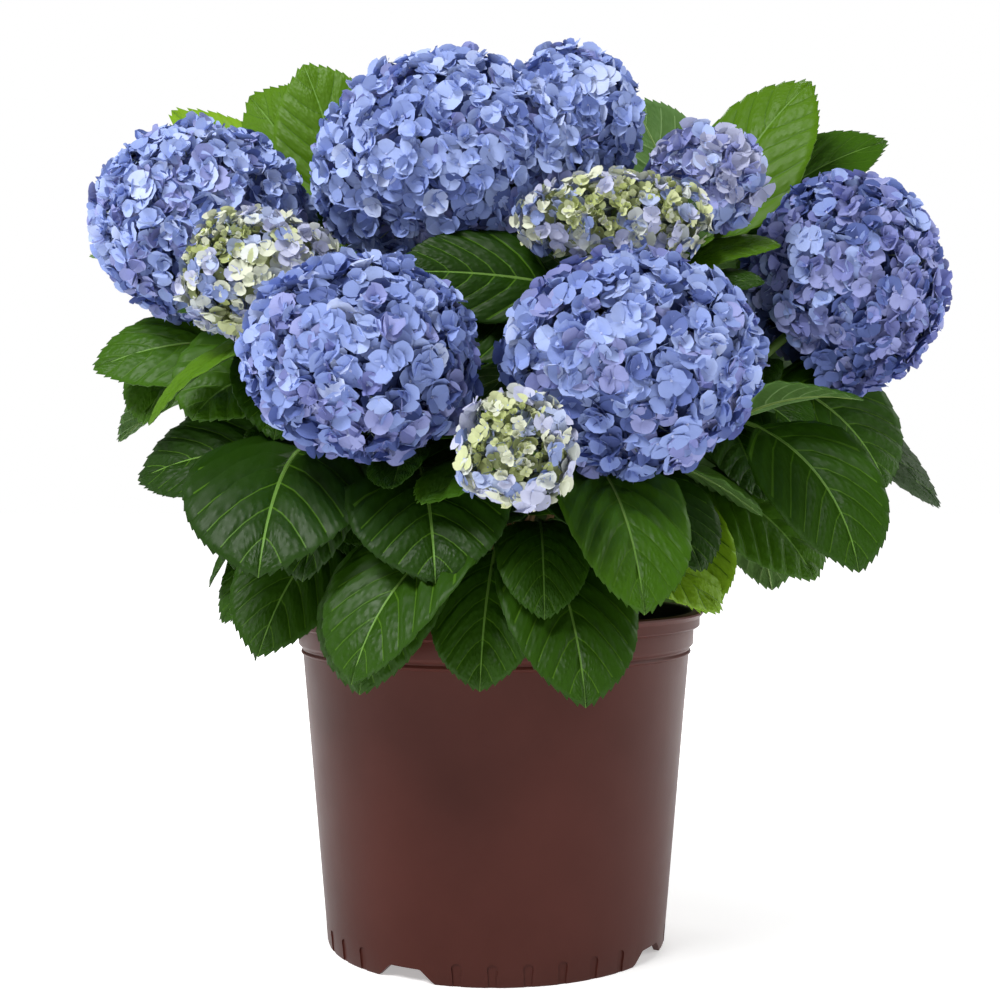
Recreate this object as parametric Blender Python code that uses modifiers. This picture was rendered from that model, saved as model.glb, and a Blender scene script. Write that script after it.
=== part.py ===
"""A bigleaf hydrangea in its nursery pot, for Blender 4.5. Metres, +Z up; the plant's front faces -Y.

The origin is the middle of the pot's footprint, at ground level. Canes rise from a short stem in the soil.
Each cane carries one shoot: a green stem with pairs of leaves and, on most shoots, a round flower head.
Headings are degrees round the plant: 0 is its front, -Y, and 90 is its right side, +X.
"""

import math
import random

import bmesh
import bpy
from mathutils import Matrix, Vector
from mathutils.bvhtree import BVHTree

UP = Vector((0, 0, 1))
TOUCH_GAP = 0.0003  # between solids that touch

# The pot, a turned shape: radii and heights.
POT_HEIGHT = 0.232
POT_SIDES = 48
WALL = 0.0024
FLANGE_RADIUS = 0.1460
LIP_RADIUS = 0.1436
LIP_BOTTOM = 0.2210
BAND_RADIUS = 0.1394
BAND_BOTTOM = 0.2095
BEAD_RADIUS = 0.1374
BEAD_HEIGHT = 0.2035
WALL_TOP_RADIUS = 0.1360
WALL_FOOT_RADIUS = 0.1187
FOOT_WIDTH = 0.0045
FLOOR_UNDERSIDE = 0.0095
MOUTH_RADIUS = 0.1372
EDGE = 0.0012  # the bevels of the flange's top
FLANGE_EDGE = 0.0018
FLANGE_DEPTH = 0.0040
LIP_EDGE, LIP_STEP = 0.0010, 0.0005
BAND_DRAFT = 0.0003
BEAD_NECK, BEAD_NECK_DEPTH = 0.0008, 0.0035
BEAD_FOOT = 0.0015
SHOULDER = 0.006  # how far below the bead the wall's inside starts to step out

# The feet are what is left of the pot's skirt between the gaps.
FEET = 4
FIRST_GAP_HEADING = -29.5
GAP_HEIGHT = 0.0088
GAP_TOP_DEG = 11.0
GAP_GROUND_DEG = 20.5
FLUTES_PER_FOOT = 6
FLUTE_PITCH_DEG = 11.0
FLUTE_RADIUS = 0.0034
FLUTE_TOP = 0.0150
FLUTE_DEPTH = 0.0010

SOIL_TOP = 0.2070

# The short woody stem in the middle of the soil, which every cane grows from.
STEM_FOOT_RADIUS, STEM_TOP_RADIUS = 0.060, 0.051
STEM_HEIGHT = 0.014
INNER_RING, OUTER_RING = 0.018, 0.043
INNER_CANES = 7

# Canes and green stems.
CANE_FOOT_RADIUS, CANE_TIP_RADIUS = 0.0056, 0.0042
SHOOT_TIP_RADIUS = 0.0030
CANE_SLIM, SHOOT_SLIM = 0.97, 0.95  # how much slimmer a limb starts than it is named
CANE_SHARE = 0.42  # of the way from the short stem to the flower head
SHOOT_END = 0.985  # the share of that way where the green stem ends, inside its flower head
CANE_PULL = 0.34  # how strongly a cane's ends pull its curve, as a share of its rise
CANE_POINTS, SHOOT_POINTS = 4, 5
STRAIGHT = 0.004  # where two limbs meet, each runs straight for this far
HEART = Vector((0, 0, 0.24))  # flower heads face away from this point

# Leaves, in shares of the leaf's whole length and of its half width.
PETIOLE_SHARE = 0.15
PETIOLE_RADIUS = 0.0018
LEAF_THICKNESS = 0.0026
LEAF_FOLD = 0.16
FULL_ROLL = 0.35
BLADE_RINGS = ((0.40, 0.97), (0.76, 0.74))
LEAF_PULL = 0.36  # how strongly a midrib's ends pull its curve, as a share of the leaf's length
LEAF_CLEARANCE = 0.0010
PLACED_SEED, PAIR_SEED = 11, 3
PLACED_TRIES, FILL_TRIES = 40, 24
SWAY = 0.030  # how far a leaf's tip may move to get clear
ARCH_SWAY, ROLL_SWAY = 18, 20  # degrees that its arch and its roll may change
OWN_HEAD_SHARE = 0.25  # of a leaf may lie in its own shoot's flower head
LEAF_ROOT = 0.026  # leaves of one shoot may run together this near to their stem
FILL_LENGTH = (0.150, 0.105)  # low and high on the stem
FILL_CLIMB = (-58, 0)  # degrees, low and high on the stem
FILL_WIDTH = (0.50, 0.62)
FILL_ARCH, FILL_ROLL = (18, 36), (-25, 25)
FIRST_PAIR, PAIR_RUN = 0.02, 0.78  # where pairs start on the green stem, and how much of it they take
PAIR_JITTER = (0.1, 0.7)
PAIR_SPREAD = (38, 84)  # degrees to either side of the way out
HEADING_JITTER, CLIMB_JITTER, LENGTH_JITTER = 16, 14, 0.01
CROWN_CENTRE = Vector((0, 0, 0.34))
CROWN_RADII = Vector((0.318, 0.262, 0.288))
RIM_SHOWS = (12, 128)  # between these headings, in degrees, the pot's rim shows
RIM_SHOWS_BELOW = 0.236  # and no pair of leaves is to hang lower than this

# Flower heads.
CORE_SHARE = 0.84
FLORET_SPACING = 0.060
FLORET_RADIUS = 0.0290
FLORET_DEPTH = 0.034
RIM_RISE = 0.006  # how far a floret's petal tips stand out of the head's round shape
PETAL_NOTCH = 0.55
STEM_OPENING = 0.72  # no floret sits closer than this cosine to the stem
BURIED = 1.1  # a floret this near to another of its head's round forms, with 1 at its skin, is left out

BLUE = (0.20, 0.25, 0.62, 1)
MAUVE = (0.27, 0.27, 0.58, 1)
LIME = (0.50, 0.56, 0.30, 1)
GREEN = (0.045, 0.13, 0.015, 1)
BARK = (0.17, 0.12, 0.06, 1)
MAROON = (0.085, 0.030, 0.022, 1)
PEAT = (0.030, 0.018, 0.012, 1)


def around(heading, reach, height):
    """A point round the plant, from its heading in degrees, its distance from the axis and its height."""
    angle = math.radians(heading)
    return Vector((reach * math.sin(angle), -reach * math.cos(angle), height))


def leaf(at, heading, reach, height, width, arch=30, roll=0):
    """A leaf from the stem's share at to a tip, given round the plant. Width is a share of its length."""
    return (at, around(heading, reach, height), width, arch, roll)


def shoot(name, centre, radii=None, colour=GREEN, lobe=None, leaves=(), pairs=3):
    """A shoot that ends at centre, in a flower head where it has radii, with leaves placed or in pairs."""
    radii = Vector(radii) if radii else None
    return {
        "name": name,
        "centre": Vector(centre),
        "radii": radii,
        "colour": colour,
        "lobe": lobe,
        "leaves": leaves,
        "pairs": pairs,
    }


SHOOTS = [
    shoot(
        "top",
        (-0.028, -0.040, 0.535),
        (0.102, 0.088, 0.080),
        BLUE,
        lobe=(Vector((0.050, -0.030, 0.569)), 0.055),
    ),
    shoot(
        "left",
        (-0.207, -0.005, 0.504),
        (0.082, 0.076, 0.073),
        BLUE,
        leaves=(
            leaf(0.35, -86, 0.282, 0.400, 0.50, arch=25, roll=-50),
            leaf(0.22, -73, 0.210, 0.360, 0.80, arch=45, roll=-35),
        ),
    ),
    shoot(
        "right",
        (0.248, 0.000, 0.462),
        (0.074, 0.076, 0.081),
        MAUVE,
        leaves=(
            leaf(0.30, 76, 0.215, 0.350, 0.60, arch=40, roll=40),
            leaf(0.50, 90, 0.278, 0.318, 0.60, arch=30, roll=60),
            leaf(0.40, 96, 0.328, 0.304, 0.30, arch=20, roll=50),
        ),
    ),
    shoot(
        "front_left",
        (-0.079, -0.185, 0.393),
        (0.074, 0.064, 0.063),
        BLUE,
        leaves=(
            leaf(0.30, -3, 0.212, 0.257, 0.80, arch=40),
            leaf(0.02, -25, 0.184, 0.184, 0.60, arch=25),
        ),
    ),
    shoot(
        "front_right",
        (0.081, -0.170, 0.392),
        (0.083, 0.070, 0.070),
        BLUE,
        leaves=(
            leaf(0.35, 21, 0.236, 0.244, 0.50, arch=35),
            leaf(0.20, 36, 0.210, 0.266, 0.55, arch=40, roll=20),
        ),
    ),
    shoot(
        "upper_right",
        (0.139, -0.060, 0.524),
        (0.045, 0.045, 0.040),
        MAUVE,
        leaves=(
            leaf(0.55, 70, 0.202, 0.478, 0.35, roll=40),
            leaf(0.40, 66, 0.194, 0.452, 0.35, roll=40),
        ),
    ),
    shoot("young_left", (-0.149, -0.115, 0.452), (0.052, 0.042, 0.038), LIME),
    shoot("young_top", (0.073, -0.125, 0.484), (0.058, 0.040, 0.028), LIME),
    shoot(
        "young_front",
        (0.012, -0.235, 0.336),
        (0.032, 0.030, 0.031),
        LIME,
        leaves=(leaf(0.02, -3, 0.176, 0.195, 0.58, arch=25),),
        pairs=2,
    ),
    shoot("rear_left", (-0.125, 0.155, 0.472), (0.076, 0.070, 0.068), BLUE, pairs=4),
    shoot("rear_right", (0.115, 0.165, 0.475), (0.078, 0.068, 0.068), BLUE, pairs=4),
    shoot("rear_middle", (0.000, 0.200, 0.365), (0.074, 0.062, 0.064), MAUVE, pairs=4),
    shoot("rear_low_left", (-0.178, 0.130, 0.345), (0.065, 0.060, 0.058), BLUE),
    shoot("rear_low_right", (0.175, 0.138, 0.348), (0.065, 0.060, 0.058), BLUE),
    shoot(
        "leafy_upper_left",
        (-0.118, 0.050, 0.500),
        leaves=(
            leaf(0.95, -109, 0.154, 0.634, 0.55, arch=12, roll=-85),
            leaf(0.70, -112, 0.224, 0.618, 0.32, arch=18, roll=-60),
            leaf(0.45, -117, 0.303, 0.632, 0.24, arch=12, roll=-60),
        ),
        pairs=2,
    ),
    shoot(
        "leafy_upper_right",
        (0.165, 0.060, 0.490),
        leaves=(
            leaf(0.85, 101, 0.255, 0.604, 0.52, arch=22, roll=60),
            leaf(0.45, 112, 0.325, 0.560, 0.26, arch=15, roll=45),
            leaf(0.80, 115, 0.118, 0.618, 0.45, arch=12, roll=80),
        ),
        pairs=2,
    ),
    shoot(
        "leafy_left",
        (-0.150, -0.060, 0.370),
        leaves=(
            leaf(0.60, -33, 0.240, 0.258, 0.66, arch=40),
            leaf(0.40, -90, 0.255, 0.323, 0.50, arch=25, roll=-55),
            leaf(0.10, -81, 0.192, 0.224, 0.40, arch=25, roll=-50),
            leaf(0.15, -51, 0.193, 0.210, 0.50, arch=25, roll=-25),
        ),
        pairs=2,
    ),
    shoot(
        "leafy_right",
        (0.165, -0.075, 0.370),
        leaves=(
            leaf(0.90, 58, 0.265, 0.264, 0.48, arch=35, roll=40),
            leaf(0.40, 69, 0.225, 0.256, 0.60, arch=30, roll=45),
            leaf(0.20, 45, 0.186, 0.238, 0.50, arch=30, roll=20),
        ),
        pairs=2,
    ),
    shoot(
        "leafy_front",
        (0.030, -0.120, 0.300),
        leaves=(
            leaf(0.50, 14, 0.215, 0.190, 0.52, arch=36),
            leaf(0.85, 8, 0.205, 0.240, 0.50, arch=35),
        ),
        pairs=3,
    ),
    shoot("leafy_rear", (-0.020, 0.110, 0.300), pairs=4),
    shoot(
        "leafy_rear_left",
        (-0.220, 0.110, 0.455),
        leaves=(leaf(0.85, -114, 0.358, 0.505, 0.50, arch=20),),
        pairs=4,
    ),
    shoot("leafy_rear_right", (0.236, 0.088, 0.400), pairs=4),
]


def add_object(name, mesh, collection, material=None):
    """A new object of the mesh in the collection."""
    item = bpy.data.objects.new(name, mesh)
    collection.objects.link(item)
    if material:
        mesh.materials.clear()
        mesh.materials.append(material)
    return item


def finish_mesh(bm, name):
    """The bmesh as a triangulated mesh with its faces pointing out."""
    bmesh.ops.recalc_face_normals(bm, faces=bm.faces)
    bmesh.ops.triangulate(bm, faces=bm.faces)
    mesh = bpy.data.meshes.new(name)
    bm.to_mesh(mesh)
    bm.free()
    return mesh


def principled(name, colour, roughness):
    """A plain material of one colour."""
    material = bpy.data.materials.new(name)
    material.use_nodes = True
    shader = material.node_tree.nodes["Principled BSDF"]
    shader.inputs["Base Color"].default_value = colour
    shader.inputs["Roughness"].default_value = roughness
    shader.inputs["Metallic"].default_value = 0.0
    return material


def turned(name, profile, collection, material):
    """A solid turned round the Z axis from radii and heights that run down its outer side."""
    bm = bmesh.new()
    points = [bm.verts.new((radius, 0, height)) for radius, height in profile]
    for first, second in zip(points, points[1:]):
        bm.edges.new((first, second))
    mesh = bpy.data.meshes.new(name)
    bm.to_mesh(mesh)
    bm.free()
    item = add_object(name, mesh, collection, material)
    screw = item.modifiers.new("turn", "SCREW")
    screw.steps = POT_SIDES
    screw.render_steps = POT_SIDES
    screw.use_merge_vertices = True
    screw.merge_threshold = 0.00005
    return item


def cut(item, cutter):
    """The Boolean that takes the cutter out of the item."""
    cutter.hide_render = True
    cutter.display_type = "WIRE"
    boolean = item.modifiers.new("cut", "BOOLEAN")
    boolean.operation = "DIFFERENCE"
    boolean.object = cutter


def joined(name, bms, collection):
    """One object of several separate meshes."""
    whole = bmesh.new()
    for bm in bms:
        part = bpy.data.meshes.new(name)
        bm.to_mesh(part)
        bm.free()
        whole.from_mesh(part)
        bpy.data.meshes.remove(part)
    return add_object(name, finish_mesh(whole, name), collection)


def wall_radius(height):
    """The outer radius of the pot's plain wall."""
    share = height / (BEAD_HEIGHT - BEAD_FOOT)
    return WALL_FOOT_RADIUS + (WALL_TOP_RADIUS - WALL_FOOT_RADIUS) * share


def pot_inside(height):
    """The inner radius of the pot's wall."""
    return wall_radius(height) - WALL


def gap_cutter(heading):
    """A block with sloped ends that opens the skirt between two feet."""
    bm = bmesh.new()
    bmesh.ops.create_cube(bm, size=1.0)
    inner, outer = WALL_FOOT_RADIUS - 3 * FOOT_WIDTH, WALL_FOOT_RADIUS + FOOT_WIDTH
    below = 0.002
    slope = (GAP_GROUND_DEG - GAP_TOP_DEG) / GAP_HEIGHT
    for vert in bm.verts:
        at_top = vert.co.z > 0
        degrees = GAP_TOP_DEG if at_top else GAP_GROUND_DEG + slope * below
        side = math.copysign(math.tan(math.radians(degrees / 2)) * WALL_FOOT_RADIUS, vert.co.x)
        out = outer if vert.co.y < 0 else inner
        vert.co = (side, -out, GAP_HEIGHT if at_top else -below)
    bmesh.ops.rotate(bm, verts=bm.verts, matrix=Matrix.Rotation(math.radians(heading), 3, "Z"))
    return bm


def flute_cutter(heading):
    """An arched block that sinks one flute into the wall's outer face."""
    bm = bmesh.new()
    depth = 0.006
    turn = Matrix.Rotation(math.pi / 2, 4, "X")
    bmesh.ops.create_cone(
        bm,
        cap_ends=True,
        segments=8,
        radius1=FLUTE_RADIUS,
        radius2=FLUTE_RADIUS,
        depth=depth,
        matrix=turn,
    )
    for vert in bm.verts:
        if vert.co.z < -FLUTE_RADIUS / 2:
            vert.co.z -= FLUTE_TOP
    lean = math.atan((WALL_TOP_RADIUS - WALL_FOOT_RADIUS) / BEAD_HEIGHT)
    bmesh.ops.rotate(bm, verts=bm.verts, matrix=Matrix.Rotation(lean, 3, "X"))
    centre_height = FLUTE_TOP - FLUTE_RADIUS
    middle = wall_radius(centre_height) - FLUTE_DEPTH + depth / 2
    bmesh.ops.translate(bm, verts=bm.verts, vec=(0, -middle, centre_height))
    bmesh.ops.rotate(bm, verts=bm.verts, matrix=Matrix.Rotation(math.radians(heading), 3, "Z"))
    return bm


def build_pot(parts, cutters):
    """The pot: a turned wall with lip, band and bead, a raised floor, and four feet with flutes."""
    floor_top = FLOOR_UNDERSIDE + WALL
    profile = [
        (0.0, floor_top),
        (pot_inside(floor_top), floor_top),
        (pot_inside(BEAD_HEIGHT - SHOULDER), BEAD_HEIGHT - SHOULDER),
        (BAND_RADIUS - WALL, BAND_BOTTOM),
        (MOUTH_RADIUS, POT_HEIGHT - FLANGE_DEPTH),
        (MOUTH_RADIUS + EDGE, POT_HEIGHT),
        (FLANGE_RADIUS - EDGE, POT_HEIGHT),
        (FLANGE_RADIUS, POT_HEIGHT - FLANGE_EDGE),
        (LIP_RADIUS, POT_HEIGHT - FLANGE_DEPTH),
        (LIP_RADIUS, LIP_BOTTOM + LIP_EDGE),
        (BAND_RADIUS, LIP_BOTTOM - LIP_STEP),
        (BAND_RADIUS - BAND_DRAFT, BAND_BOTTOM),
        (BEAD_RADIUS - BEAD_NECK, BAND_BOTTOM - BEAD_NECK_DEPTH),
        (BEAD_RADIUS, BEAD_HEIGHT),
        (WALL_TOP_RADIUS, BEAD_HEIGHT - BEAD_FOOT),
        (WALL_FOOT_RADIUS, 0.0),
        (WALL_FOOT_RADIUS - FOOT_WIDTH, 0.0),
        (WALL_FOOT_RADIUS - FOOT_WIDTH, FLOOR_UNDERSIDE),
        (0.0, FLOOR_UNDERSIDE),
    ]
    pot = turned("pot", profile, parts, principled("pot_plastic", MAROON, 0.42))
    gaps = [FIRST_GAP_HEADING + foot * 360 / FEET for foot in range(FEET)]
    cut(pot, joined("gap_cutter", [gap_cutter(heading) for heading in gaps], cutters))
    flutes = []
    for heading in gaps:
        middle = heading + 180 / FEET
        for step in range(FLUTES_PER_FOOT):
            offset = (step - (FLUTES_PER_FOOT - 1) / 2) * FLUTE_PITCH_DEG
            flutes.append(flute_cutter(middle + offset))
    cut(pot, joined("flute_cutter", flutes, cutters))
    return pot


def build_soil(parts):
    """The potting mix, a plain turned block that fills the pot to below its rim."""
    bottom = FLOOR_UNDERSIDE + WALL + TOUCH_GAP
    top_radius = pot_inside(BEAD_HEIGHT - SHOULDER)
    profile = [
        (0.0, SOIL_TOP),
        (top_radius - TOUCH_GAP, SOIL_TOP),
        (top_radius - TOUCH_GAP, BEAD_HEIGHT - SHOULDER),
        (pot_inside(bottom) - TOUCH_GAP, bottom),
        (0.0, bottom),
    ]
    return turned("soil", profile, parts, principled("potting_mix", PEAT, 0.95))


def tube(name, points, radii, collection, sides=6):
    """A limb that tapers along straight runs between points, with flat ends."""
    curve = bpy.data.curves.new(name, "CURVE")
    curve.dimensions = "3D"
    curve.bevel_depth = 1.0
    curve.bevel_resolution = (sides - 4) // 2
    curve.use_fill_caps = True
    spline = curve.splines.new("POLY")
    spline.points.add(len(points) - 1)
    for place, at, radius in zip(spline.points, points, radii):
        place.co = (*at, 1.0)
        place.radius = radius
    guide = bpy.data.objects.new(name, curve)
    collection.objects.link(guide)
    bpy.context.view_layer.update()
    seen = guide.evaluated_get(bpy.context.evaluated_depsgraph_get())
    mesh = bpy.data.meshes.new_from_object(seen)
    bpy.data.objects.remove(guide)
    bpy.data.curves.remove(curve)
    bm = bmesh.new()
    bm.from_mesh(mesh)
    bpy.data.meshes.remove(mesh)
    bmesh.ops.remove_doubles(bm, verts=bm.verts, dist=0.00001)
    return add_object(name, finish_mesh(bm, name), collection)


def bezier(ends, share):
    """The point at a share of a cubic Bezier curve."""
    start, first, second, end = ends
    rest = 1 - share
    point = start * rest**3 + first * (3 * rest**2 * share)
    return point + second * (3 * rest * share**2) + end * share**3


def slope(ends, share):
    """The direction of a cubic Bezier curve at a share."""
    return (bezier(ends, share + 0.001) - bezier(ends, share - 0.001)).normalized()


def facing(item):
    """The direction in which a shoot's end looks."""
    return (item["centre"] - HEART).normalized()


def heading_of(point):
    """The heading round the plant of a point, in degrees."""
    return math.degrees(math.atan2(point.x, -point.y))


def set_feet(shoots):
    """Gives each shoot's cane a foot: the steepest in the inner ring, the others spread round the outer."""

    def lean(item):
        return item["centre"].xy.length / (item["centre"].z - SOIL_TOP)

    steepest = sorted(shoots, key=lean)
    for ring, reach in ((steepest[:INNER_CANES], INNER_RING), (steepest[INNER_CANES:], OUTER_RING)):
        ring.sort(key=lambda item: heading_of(item["centre"]))
        step = 360 / len(ring)
        drift = [heading_of(item["centre"]) - rank * step for rank, item in enumerate(ring)]
        start = sum(drift) / len(drift)
        for rank, item in enumerate(ring):
            foot = around(start + rank * step, reach, SOIL_TOP + STEM_HEIGHT + 2 * TOUCH_GAP)
            rise = item["centre"] - foot
            lean_out = (rise.normalized() + UP).normalized()
            item["path"] = (
                foot + UP * STRAIGHT,
                foot + UP * STRAIGHT + lean_out * rise.length * CANE_PULL,
                item["centre"] - facing(item) * rise.length * CANE_PULL,
                item["centre"],
            )


def build_stem(parts, material):
    """The short woody stem, which flares to the soil."""
    bm = bmesh.new()
    bmesh.ops.create_cone(
        bm,
        cap_ends=True,
        segments=20,
        radius1=STEM_FOOT_RADIUS,
        radius2=STEM_TOP_RADIUS,
        depth=STEM_HEIGHT,
        matrix=Matrix.Translation((0, 0, SOIL_TOP + TOUCH_GAP + STEM_HEIGHT / 2)),
    )
    return add_object("stem", finish_mesh(bm, "stem"), parts, material)


def closed(mesh):
    """Whether every edge of the mesh borders two faces."""
    bm = bmesh.new()
    bm.from_mesh(mesh)
    good = len(bm.faces) > 0 and all(len(edge.link_faces) == 2 for edge in bm.edges)
    bm.free()
    return good


def largest_shell(mesh):
    """Keeps the mesh's largest shell, without loose scraps and sealed hollows."""
    bm = bmesh.new()
    bm.from_mesh(mesh)
    bmesh.ops.triangulate(bm, faces=bm.faces)
    left = set(bm.faces)
    shells = []
    while left:
        queue = [left.pop()]
        shell = list(queue)
        while queue:
            for edge in queue.pop().edges:
                for face in edge.link_faces:
                    if face in left:
                        left.remove(face)
                        queue.append(face)
                        shell.append(face)
        shells.append(shell)
    shells.sort(key=len)
    scraps = [face for shell in shells[:-1] for face in shell]
    bmesh.ops.delete(bm, geom=scraps, context="FACES")
    bm.to_mesh(mesh)
    bm.free()


def fuse(base, pieces, material):
    """Joins a collection's objects to the base by one Boolean union, applied, and removes them."""
    bpy.context.scene.collection.children.link(pieces)
    bpy.context.view_layer.update()
    for solver in ("EXACT", "MANIFOLD"):
        union = base.modifiers.new("union", "BOOLEAN")
        union.operation = "UNION"
        union.operand_type = "COLLECTION"
        union.collection = pieces
        union.solver = solver
        seen = base.evaluated_get(bpy.context.evaluated_depsgraph_get())
        whole = bpy.data.meshes.new_from_object(seen)
        base.modifiers.remove(union)
        largest_shell(whole)
        if closed(whole):
            break
    for piece in list(pieces.objects):
        bpy.data.objects.remove(piece)
    bpy.data.collections.remove(pieces)
    base.data = whole
    whole.name = base.name
    whole.materials.clear()
    whole.materials.append(material)
    return base


def limb_points(ends, first, last, count):
    """Points along a curve between two shares, straight for a little way where limbs meet."""
    start, finish = bezier(ends, first), bezier(ends, last)
    if first == 0.0:
        points = [start - UP * STRAIGHT, start]
    else:
        points = [start + slope(ends, first) * TOUCH_GAP, start + slope(ends, first) * STRAIGHT]
    for step in range(1, count - 1):
        points.append(bezier(ends, first + (last - first) * step / (count - 1)))
    points += [finish - slope(ends, last) * STRAIGHT, finish]
    return points


def tapered(points, wide, narrow):
    """Radii that fall evenly along the points."""
    return [wide + (narrow - wide) * rank / (len(points) - 1) for rank in range(len(points))]


def leaf_curve(start, tip, arch):
    """The leaf's midrib, which leaves the stem above the straight line to the tip, and droops to it."""
    chord = tip - start
    flat = Vector((chord.x, chord.y, 0))
    length = chord.length
    if flat.length < 0.0001:
        flat = Vector((0.0001, 0, 0))
    out = flat.normalized()
    climb = math.atan2(chord.z, flat.length)
    bend = math.radians(arch)
    leave = out * math.cos(climb + bend) + UP * math.sin(climb + bend)
    arrive = out * math.cos(climb - bend) + UP * math.sin(climb - bend)
    return (start, start + leave * length * LEAF_PULL, tip - arrive * length * LEAF_PULL, tip)


def leaf_mesh(start, tip, width, arch, roll, spare=0.0):
    """A thin leaf on its petiole, shaped from a coarse sphere, with its margins raised to a shallow fold."""
    ends = leaf_curve(start, tip, arch)
    length = (tip - start).length
    level = (tip - start).cross(UP)
    rings = [(0.0, 0.0), (PETIOLE_SHARE, 0.0), *BLADE_RINGS]
    bm = bmesh.new()
    bmesh.ops.create_uvsphere(bm, u_segments=4, v_segments=len(rings) + 1, radius=1.0)
    for vert in bm.verts:
        rank = round(math.acos(max(-1, min(1, vert.co.z))) / math.pi * (len(rings) + 1)) - 1
        if rank < 0:
            vert.co = start - slope(ends, 0.01) * PETIOLE_RADIUS * 0.5
            continue
        if rank == len(rings):
            vert.co = tip + slope(ends, 0.99) * spare
            continue
        share, half = rings[rank]
        along = slope(ends, max(share, 0.01))
        side = along.cross(UP).normalized()
        if side.dot(level) < 0:
            side.negate()
        side.rotate(Matrix.Rotation(math.radians(roll) * min(1, share / FULL_ROLL), 3, along))
        normal = side.cross(along)
        quarter = round(math.atan2(vert.co.y, vert.co.x) / (math.pi / 2)) % 4
        if half == 0.0:
            reach = PETIOLE_RADIUS + spare
            offset = (side, normal, -side, -normal)[quarter] * reach
        elif quarter % 2 == 0:
            reach = half * width * length / 2 + spare
            offset = (side if quarter == 0 else -side) * reach + normal * reach * LEAF_FOLD
        else:
            offset = (normal if quarter == 1 else -normal) * (LEAF_THICKNESS / 2 + spare)
        vert.co = bezier(ends, share) + offset
    return finish_mesh(bm, "leaf")


def tree_of(mesh, root=None, skip=0.0):
    """A search tree of a mesh's triangles, without those nearer to its root than skip."""
    points = [vert.co.copy() for vert in mesh.vertices]
    faces = [face for face in mesh.polygons if root is None or (face.center - root).length > skip]
    return BVHTree.FromPolygons(points, [tuple(face.vertices) for face in faces])


def in_head(item, point, spare):
    """Whether a point lies in or near a shoot's flower head."""
    if item["radii"] is None:
        return False
    gap = point - item["centre"]
    span = item["radii"] + Vector((spare, spare, spare))
    if (gap.x / span.x) ** 2 + (gap.y / span.y) ** 2 + (gap.z / span.z) ** 2 < 1:
        return True
    return item["lobe"] is not None and (point - item["lobe"][0]).length < item["lobe"][1] + spare


def in_crown(point):
    """Whether a point lies in the space that the crown keeps to."""
    gap = point - CROWN_CENTRE
    return sum((gap[axis] / CROWN_RADII[axis]) ** 2 for axis in range(3)) < 1


def hides_rim(tip):
    """Whether a leaf's tip hangs where the pot's rim is to show."""
    return RIM_SHOWS[0] < heading_of(tip) < RIM_SHOWS[1] and tip.z < RIM_SHOWS_BELOW


def leaf_fits(item, start, mesh, shoots, bodies):
    """Whether a leaf is clear of the pot, every cane and the other shoots, and of its own shoot's blades."""
    whole = tree_of(mesh)
    blade = tree_of(mesh, start, LEAF_ROOT)
    for owner, body, body_blade in bodies:
        if owner is item:
            if body_blade is not None and body_blade.overlap(blade):
                return False
        elif body.overlap(whole):
            return False
    middles = [face.center for face in mesh.polygons]
    points = [vert.co for vert in mesh.vertices] + middles
    for other in shoots:
        limit = LEAF_CLEARANCE * 2
        inside = sum(in_head(other, point, limit) for point in points)
        if inside > (len(points) * OWN_HEAD_SHARE if other is item else 0):
            return False
    return True


def fill_leaves(item, rng):
    """The pairs of a shoot's leaves, which turn outwards to the light; the low ones are long and hang."""
    for pair in range(item["pairs"]):
        at = FIRST_PAIR + PAIR_RUN * (pair + rng.uniform(*PAIR_JITTER)) / item["pairs"]
        start = stem_point(item, at)
        spread = PAIR_SPREAD[pair % 2]
        for side in (-1, 1):
            heading = heading_of(start) + side * (spread + rng.uniform(-HEADING_JITTER, HEADING_JITTER))
            length = FILL_LENGTH[0] + (FILL_LENGTH[1] - FILL_LENGTH[0]) * at
            length += rng.uniform(-LENGTH_JITTER, LENGTH_JITTER)
            rise = FILL_CLIMB[0] + (FILL_CLIMB[1] - FILL_CLIMB[0]) * at
            climb = math.radians(rise + rng.uniform(-CLIMB_JITTER, CLIMB_JITTER))
            offset = around(heading, math.cos(climb) * length, math.sin(climb) * length)
            width = rng.uniform(*FILL_WIDTH)
            yield (at, start + offset, width, rng.uniform(*FILL_ARCH), rng.uniform(*FILL_ROLL))


def stem_point(item, at):
    """A point on a shoot's green stem, at a share of the stem's own run."""
    return bezier(item["path"], CANE_SHARE + (1 - CANE_SHARE) * at)


def settled(item, wish, shoots, bodies, rng, tries):
    """Moves a leaf's tip a little at a time until the leaf is clear of its neighbours, or gives up."""
    at, tip, width, arch, roll = wish
    start = stem_point(item, at)
    for attempt in range(tries):
        sway = SWAY * attempt / tries
        drift = Vector((rng.uniform(-sway, sway), rng.uniform(-sway, sway), rng.uniform(-sway, sway)))
        bend = arch + rng.uniform(-1, 1) * ARCH_SWAY * attempt / tries
        turn = roll + rng.uniform(-1, 1) * ROLL_SWAY * attempt / tries
        test = leaf_mesh(start, tip + drift, width, bend, turn, LEAF_CLEARANCE)
        if leaf_fits(item, start, test, shoots, bodies):
            bodies.append((item, tree_of(test), tree_of(test, start, LEAF_ROOT)))
            return leaf_mesh(start, tip + drift, width, bend, turn)
    return None


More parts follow.
